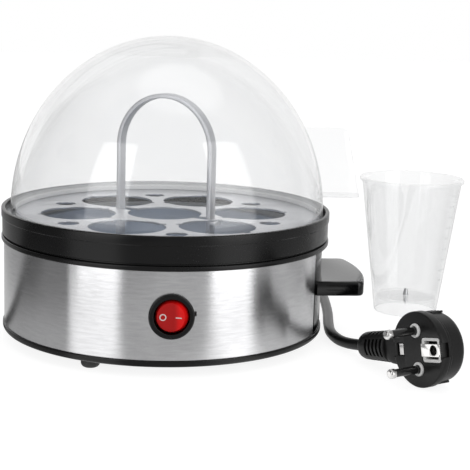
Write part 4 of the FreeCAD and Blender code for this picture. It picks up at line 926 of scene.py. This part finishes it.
class EGG_OT_plug(BoilerOperator, bpy.types.Operator):
    """Build the mains plug with its boot, pins and earth contacts"""
    bl_idname = "egg_boiler.plug"
    bl_label = "Plug"
    cord_side = -8.5  # the cord leaves beside the middle of the plug

    def build(self, context):
        heading, pitch = 116.7, 13.0
        turn = turned(heading, "Z") @ turned(90.0 + pitch, "Y") @ turned(-90.0, "X")
        place = Matrix.Translation(Vector((120.0, -104.0, 18.9)) * MM) @ turn
        radius, half = 18.9, 3.6
        notch = math.asin(half / radius)
        rim = arc(radius, math.pi * 0.5 + notch, math.pi * 1.5 - notch, 60)
        rim += [(-half, -17.2), (half, -17.2)]
        rim += arc(radius, math.pi * 1.5 + notch, math.pi * 2.5 - notch, 60)
        rim += [(half, 16.9), (-half, 16.9)]
        face = plate([rim, self.block(0.0, 10.2, 12.2, 13.0, 1.6),
                      self.block(0.0, -13.0, 6.2, 5.2, 0.5)], -5.0, 0.0, 0.7)
        shell = lathe(rounded([
            (0.0, -4.4), (18.2, -4.4), (18.2, -6.2, 0.3), (17.6, -6.9, 0.3), (17.2, -17.0, 4.0),
            (0.0, -17.0)]), steps=96)
        shapes = [face, shell]
        for side in (-1, 1):
            for lift in (-3.6, -1.2, 1.2, 3.6):
                shapes.append(plate([self.block(side * 17.3, lift, 1.2, 1.2, 0.3)], -15.0, -7.6, 0.25))
        shapes.append(skin([self.section(*numbers) for numbers in (
            (-6.0, 8.5, 6.8, 6.0), (-20.0, 8.7, 7.0, 6.0), (-25.0, 8.5, 6.9, 4.0),
            (-27.6, 8.1, 6.7, 3.0), (-28.2, 7.4, 6.2, 2.6))]))
        piece("plug_shell", merged(shapes), "Plug plastic", "housing",
              ("plug_body",), place)
        rings = []
        for along, radius, slotted in self.boot_steps():
            ring = []
            for step in range(96):
                turn = math.tau * step / 96
                side = abs((turn + math.pi / 4) % (math.pi / 2) - math.pi / 4)
                reach = 5.9 if slotted and side < math.radians(33) else radius
                ring.append((reach * math.cos(turn), along, self.cord_side + reach * math.sin(turn)))
            rings.append(ring)
        piece("boot_ribbed", skin(rings), "Plug plastic", "housing", ("plug_boot",),
              place)
        pin = rounded([(0.0, -2.0), (2.0, -2.0), (2.0, 15.3, 0.2), (2.4, 15.9, 0.5), (2.4, 19.0, 2.2),
                       (0.0, 19.0)], steps=8)
        piece("pins_sleeved", self.pair(pin), "Sleeved pin", "housing",
              ("plug_pins",), place)
        collar = rounded([(2.2, -0.6), (3.5, -0.6), (3.5, 1.1, 0.4), (2.2, 1.1, 0.3)])
        piece("collars_round", self.pair(collar), "Collar plastic", "housing",
              ("pin_collars",), place)
        frame_ring = plate([self.block(0.0, 10.2, 12.0, 12.8, 1.5),
                            self.block(0.0, 10.4, 9.0, 9.6, 0.6)], -3.4, 0.15, 0.3)
        piece("contact_frame", frame_ring, "Collar plastic", "housing",
              place=place)
        tongue = plate([self.block(0.0, 10.0, 6.4, 13.8, 0.4), circle(2.5, (0.0, 12.0), 32)[::-1]],
                       -0.5, 0.3, 0.15)
        sleeve = lathe([(2.5, -3.6), (2.9, -3.6), (2.9, -0.2), (2.5, -0.2)], (0.0, 12.0), 32)
        clip = plate([self.block(0.0, -12.2, 5.6, 2.9, 0.2)], -1.0, -0.1, 0.15)
        piece("contacts_bent", merged([tongue, sleeve, clip]), "Pin plating", "housing",
              ("plug_earth_contacts",), place)

    def pair(self, outline):
        """One turned shape on each pin's axis."""
        return merged([lathe(outline, (side * 9.5, 0.0), 48) for side in (-1, 1)])

    def block(self, x, y, width, height, corner):
        """Outline of a rounded rectangle."""
        return rounded([(x - width / 2, y - height / 2), (x + width / 2, y - height / 2),
                        (x + width / 2, y + height / 2), (x - width / 2, y + height / 2)], corner)

    def section(self, along, half, depth, power):
        """One ring of the cord's outlet on the plug, between a rectangle and an ellipse."""
        points = []
        for step in range(64):
            turn = math.tau * step / 64
            c, s = math.cos(turn), math.sin(turn)
            points.append((half * math.copysign(abs(c) ** (2 / power), c), along,
                           self.cord_side + depth * math.copysign(abs(s) ** (2 / power), s)))
        return points

    def boot_steps(self):
        """Places along the boot with the radius there and whether its slots are open there."""
        steps = [(-27.6, 7.6, False), (-28.0, 8.2, False), (-28.4, 8.4, False)]
        for index in range(5):
            middle = -29.9 - 3.25 * index
            radius = 8.4 + (middle + 28.0) * 1.2 / 23.0
            steps += [(middle + 0.85, radius, False), (middle + 0.75, radius, True),
                      (middle - 0.75, radius, True), (middle - 0.85, radius, False)]
        end = ((-49.0, 7.3), (-50.2, 6.9), (-50.8, 6.2), (-51.0, 5.2))
        return steps + [(along, radius, False) for along, radius in end]


class EGG_OT_underside(BoilerOperator, bpy.types.Operator):
    """Build the water pan, the feet and the cord's gland"""
    bl_idname = "egg_boiler.underside"
    bl_label = "Pan, feet and gland"

    def build(self, context):
        low, high = mm_box("heating_pan")
        flat, outer, wall = 67.0, 76.2, 1.2
        wide = high.x
        pan = rounded([
            (0.0, low.z), (flat + 0.9, low.z, 4.0), (outer, low.z + 9.2, 6.0),
            (outer, high.z - wall, 0.6), (wide, high.z - wall, 0.4), (wide, high.z, 0.4),
            (outer - wall, high.z, wall), (outer - wall, low.z + 9.2, 6.0),
            (flat, low.z + wall, 4.0), (0.0, low.z + wall)], steps=8)
        piece("pan_bowl", lathe(pan, steps=160), "Pan coating", "housing",
              ("heating_pan",))
        feet = []
        for step in range(3):
            turn = math.radians(120.0 * step)
            foot = rounded([(0.0, 0.0), (4.9, 0.0, 2.6), (4.9, 4.95), (0.0, 4.95)])
            feet.append(lathe(foot, polar(79.2, turn), 40))
        piece("feet_domed", merged(feet), "Foot rubber", "housing", ("feet",))
        nose = [(0.0, -8.0), (4.8, -8.0), (4.8, 0.0), (7.5, 0.0, 0.3), (7.5, 2.2, 0.7), (5.3, 2.2, 0.4)]
        for index in range(3):
            at = 7.0 + 5.0 * index
            radius = 5.3 - (at - 2.2) / 22.0
            nose += [(radius, at, 0.2), (radius - 0.8, at + 0.2, 0.2), (radius - 0.8, at + 2.0, 0.2),
                     (radius, at + 2.2, 0.2)]
        nose += [(4.3, 24.0, 0.9), (3.05, 24.0, 0.3), (3.05, 10.0), (0.0, 10.0)]
        place = (Matrix.Translation(Vector((0.0, self.sizes.band_radius / MM, 18.0)) * MM)
                 @ turned(-90.0, "X"))
        piece("gland_nose", lathe(rounded(nose), steps=64), "Plug plastic", "housing",
              ("cord_gland",), place)


class EGG_OT_cord(BoilerOperator, bpy.types.Operator):
    """Lay the mains cord from the gland through its coil to the plug"""
    bl_idname = "egg_boiler.cord"
    bl_label = "Cord"

    def build(self, context):
        sizes = self.sizes
        low = CORD_REST
        route = [(0.0, 111.7, 18.0), (0.0, 129.7, 18.0), (0.0, 161.4, low), (0.0, 179.4, low)]
        route += self.coil((39.5, 179.4), 39.5, 7.8, 0.875, 0.5)
        route += [
            (57.5, 218.9, 9.8), (79.5, 213.0, 6.0), (94.5, 196.5, 3.3), (102.0, 173.0, low),
            (105.0, 143.0, low), (105.5, 113.0, low), (104.5, 85.0, low), (102.5, 57.0, low),
            (99.5, 30.0, low), (95.5, 6.0, low), (92.6, -18.0, low), (97.39, -40.11, 3.38),
            (105.27, -55.78, 7.43)]
        curve = bpy.data.curves.new("mains_cord", "CURVE")
        curve.dimensions = "3D"
        curve.bevel_depth = sizes.cord_width / 2
        curve.bevel_resolution = 5
        curve.resolution_u = 8
        curve.use_fill_caps = True
        spline = curve.splines.new("NURBS")
        spline.points.add(len(route) - 1)
        for point, (x, y, z) in zip(spline.points, route):
            point.co = (x * MM, y * MM, z * MM, 1.0)
        spline.order_u = 3
        spline.use_endpoint_u = True
        curve.materials.append(bpy.data.materials["Cord jacket"])
        item = add_object("mains_cord", curve)
        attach(item, "housing")
        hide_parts("cord_tail", "cord_coil", "cord_lead")

    def coil(self, centre, radius, pitch, flat, rise):
        """Points of two and a quarter turns: inwards on the floor, up, and outwards on top."""
        points = []
        for step in range(1, 37):
            turns = 2.25 * step / 36
            depth = min(turns, flat) - max(turns - flat - rise, 0.0)
            climb = min(max((turns - flat) / rise, 0.0), 1.0)
            angle = math.pi - math.tau * turns
            reach = radius - pitch * depth
            points.append((*polar(reach, angle, centre),
                           CORD_REST + 6.7 * climb * climb * (3 - 2 * climb)))
        return points


class EGG_PT_sidebar(bpy.types.Panel):
    """Sizes, colours and steps of the egg boiler"""
    bl_idname = "EGG_PT_sidebar"
    bl_label = "Egg boiler"
    bl_space_type = "VIEW_3D"
    bl_region_type = "UI"
    bl_category = "Egg boiler"

    def draw(self, context):
        layout = self.layout
        for step in STEPS:
            layout.operator(step.bl_idname)
        for title, name in (("Sizes", "egg_boiler_sizes"), ("Colours", "egg_boiler_colours"),
                            ("Stage", "egg_boiler_stage")):
            box = layout.box()
            box.label(text=title)
            group = getattr(context.scene, name)
            for field in group.__annotations__:
                box.prop(group, field)


STEPS = (EGG_OT_finishes, EGG_OT_stage, EGG_OT_plug, EGG_OT_cord, EGG_OT_underside, EGG_OT_lid,
         EGG_OT_tray, EGG_OT_rings, EGG_OT_handle, EGG_OT_switch, EGG_OT_cup)
GROUPS = (("egg_boiler_sizes", EggBoilerSizes), ("egg_boiler_colours", EggBoilerColours),
          ("egg_boiler_stage", EggBoilerStage))


def register():
    for name, group in GROUPS:
        bpy.utils.register_class(group)
        setattr(bpy.types.Scene, name, bpy.props.PointerProperty(type=group))
    for item in (*STEPS, EGG_PT_sidebar):
        bpy.utils.register_class(item)


def unregister():
    for item in (EGG_PT_sidebar, *reversed(STEPS)):
        bpy.utils.unregister_class(item)
    for name, group in reversed(GROUPS):
        delattr(bpy.types.Scene, name)
        bpy.utils.unregister_class(group)


def main():
    register()
    for step in STEPS:
        area, name = step.bl_idname.split(".")
        getattr(getattr(bpy.ops, area), name)()


if __name__ == "__main__":
    main()
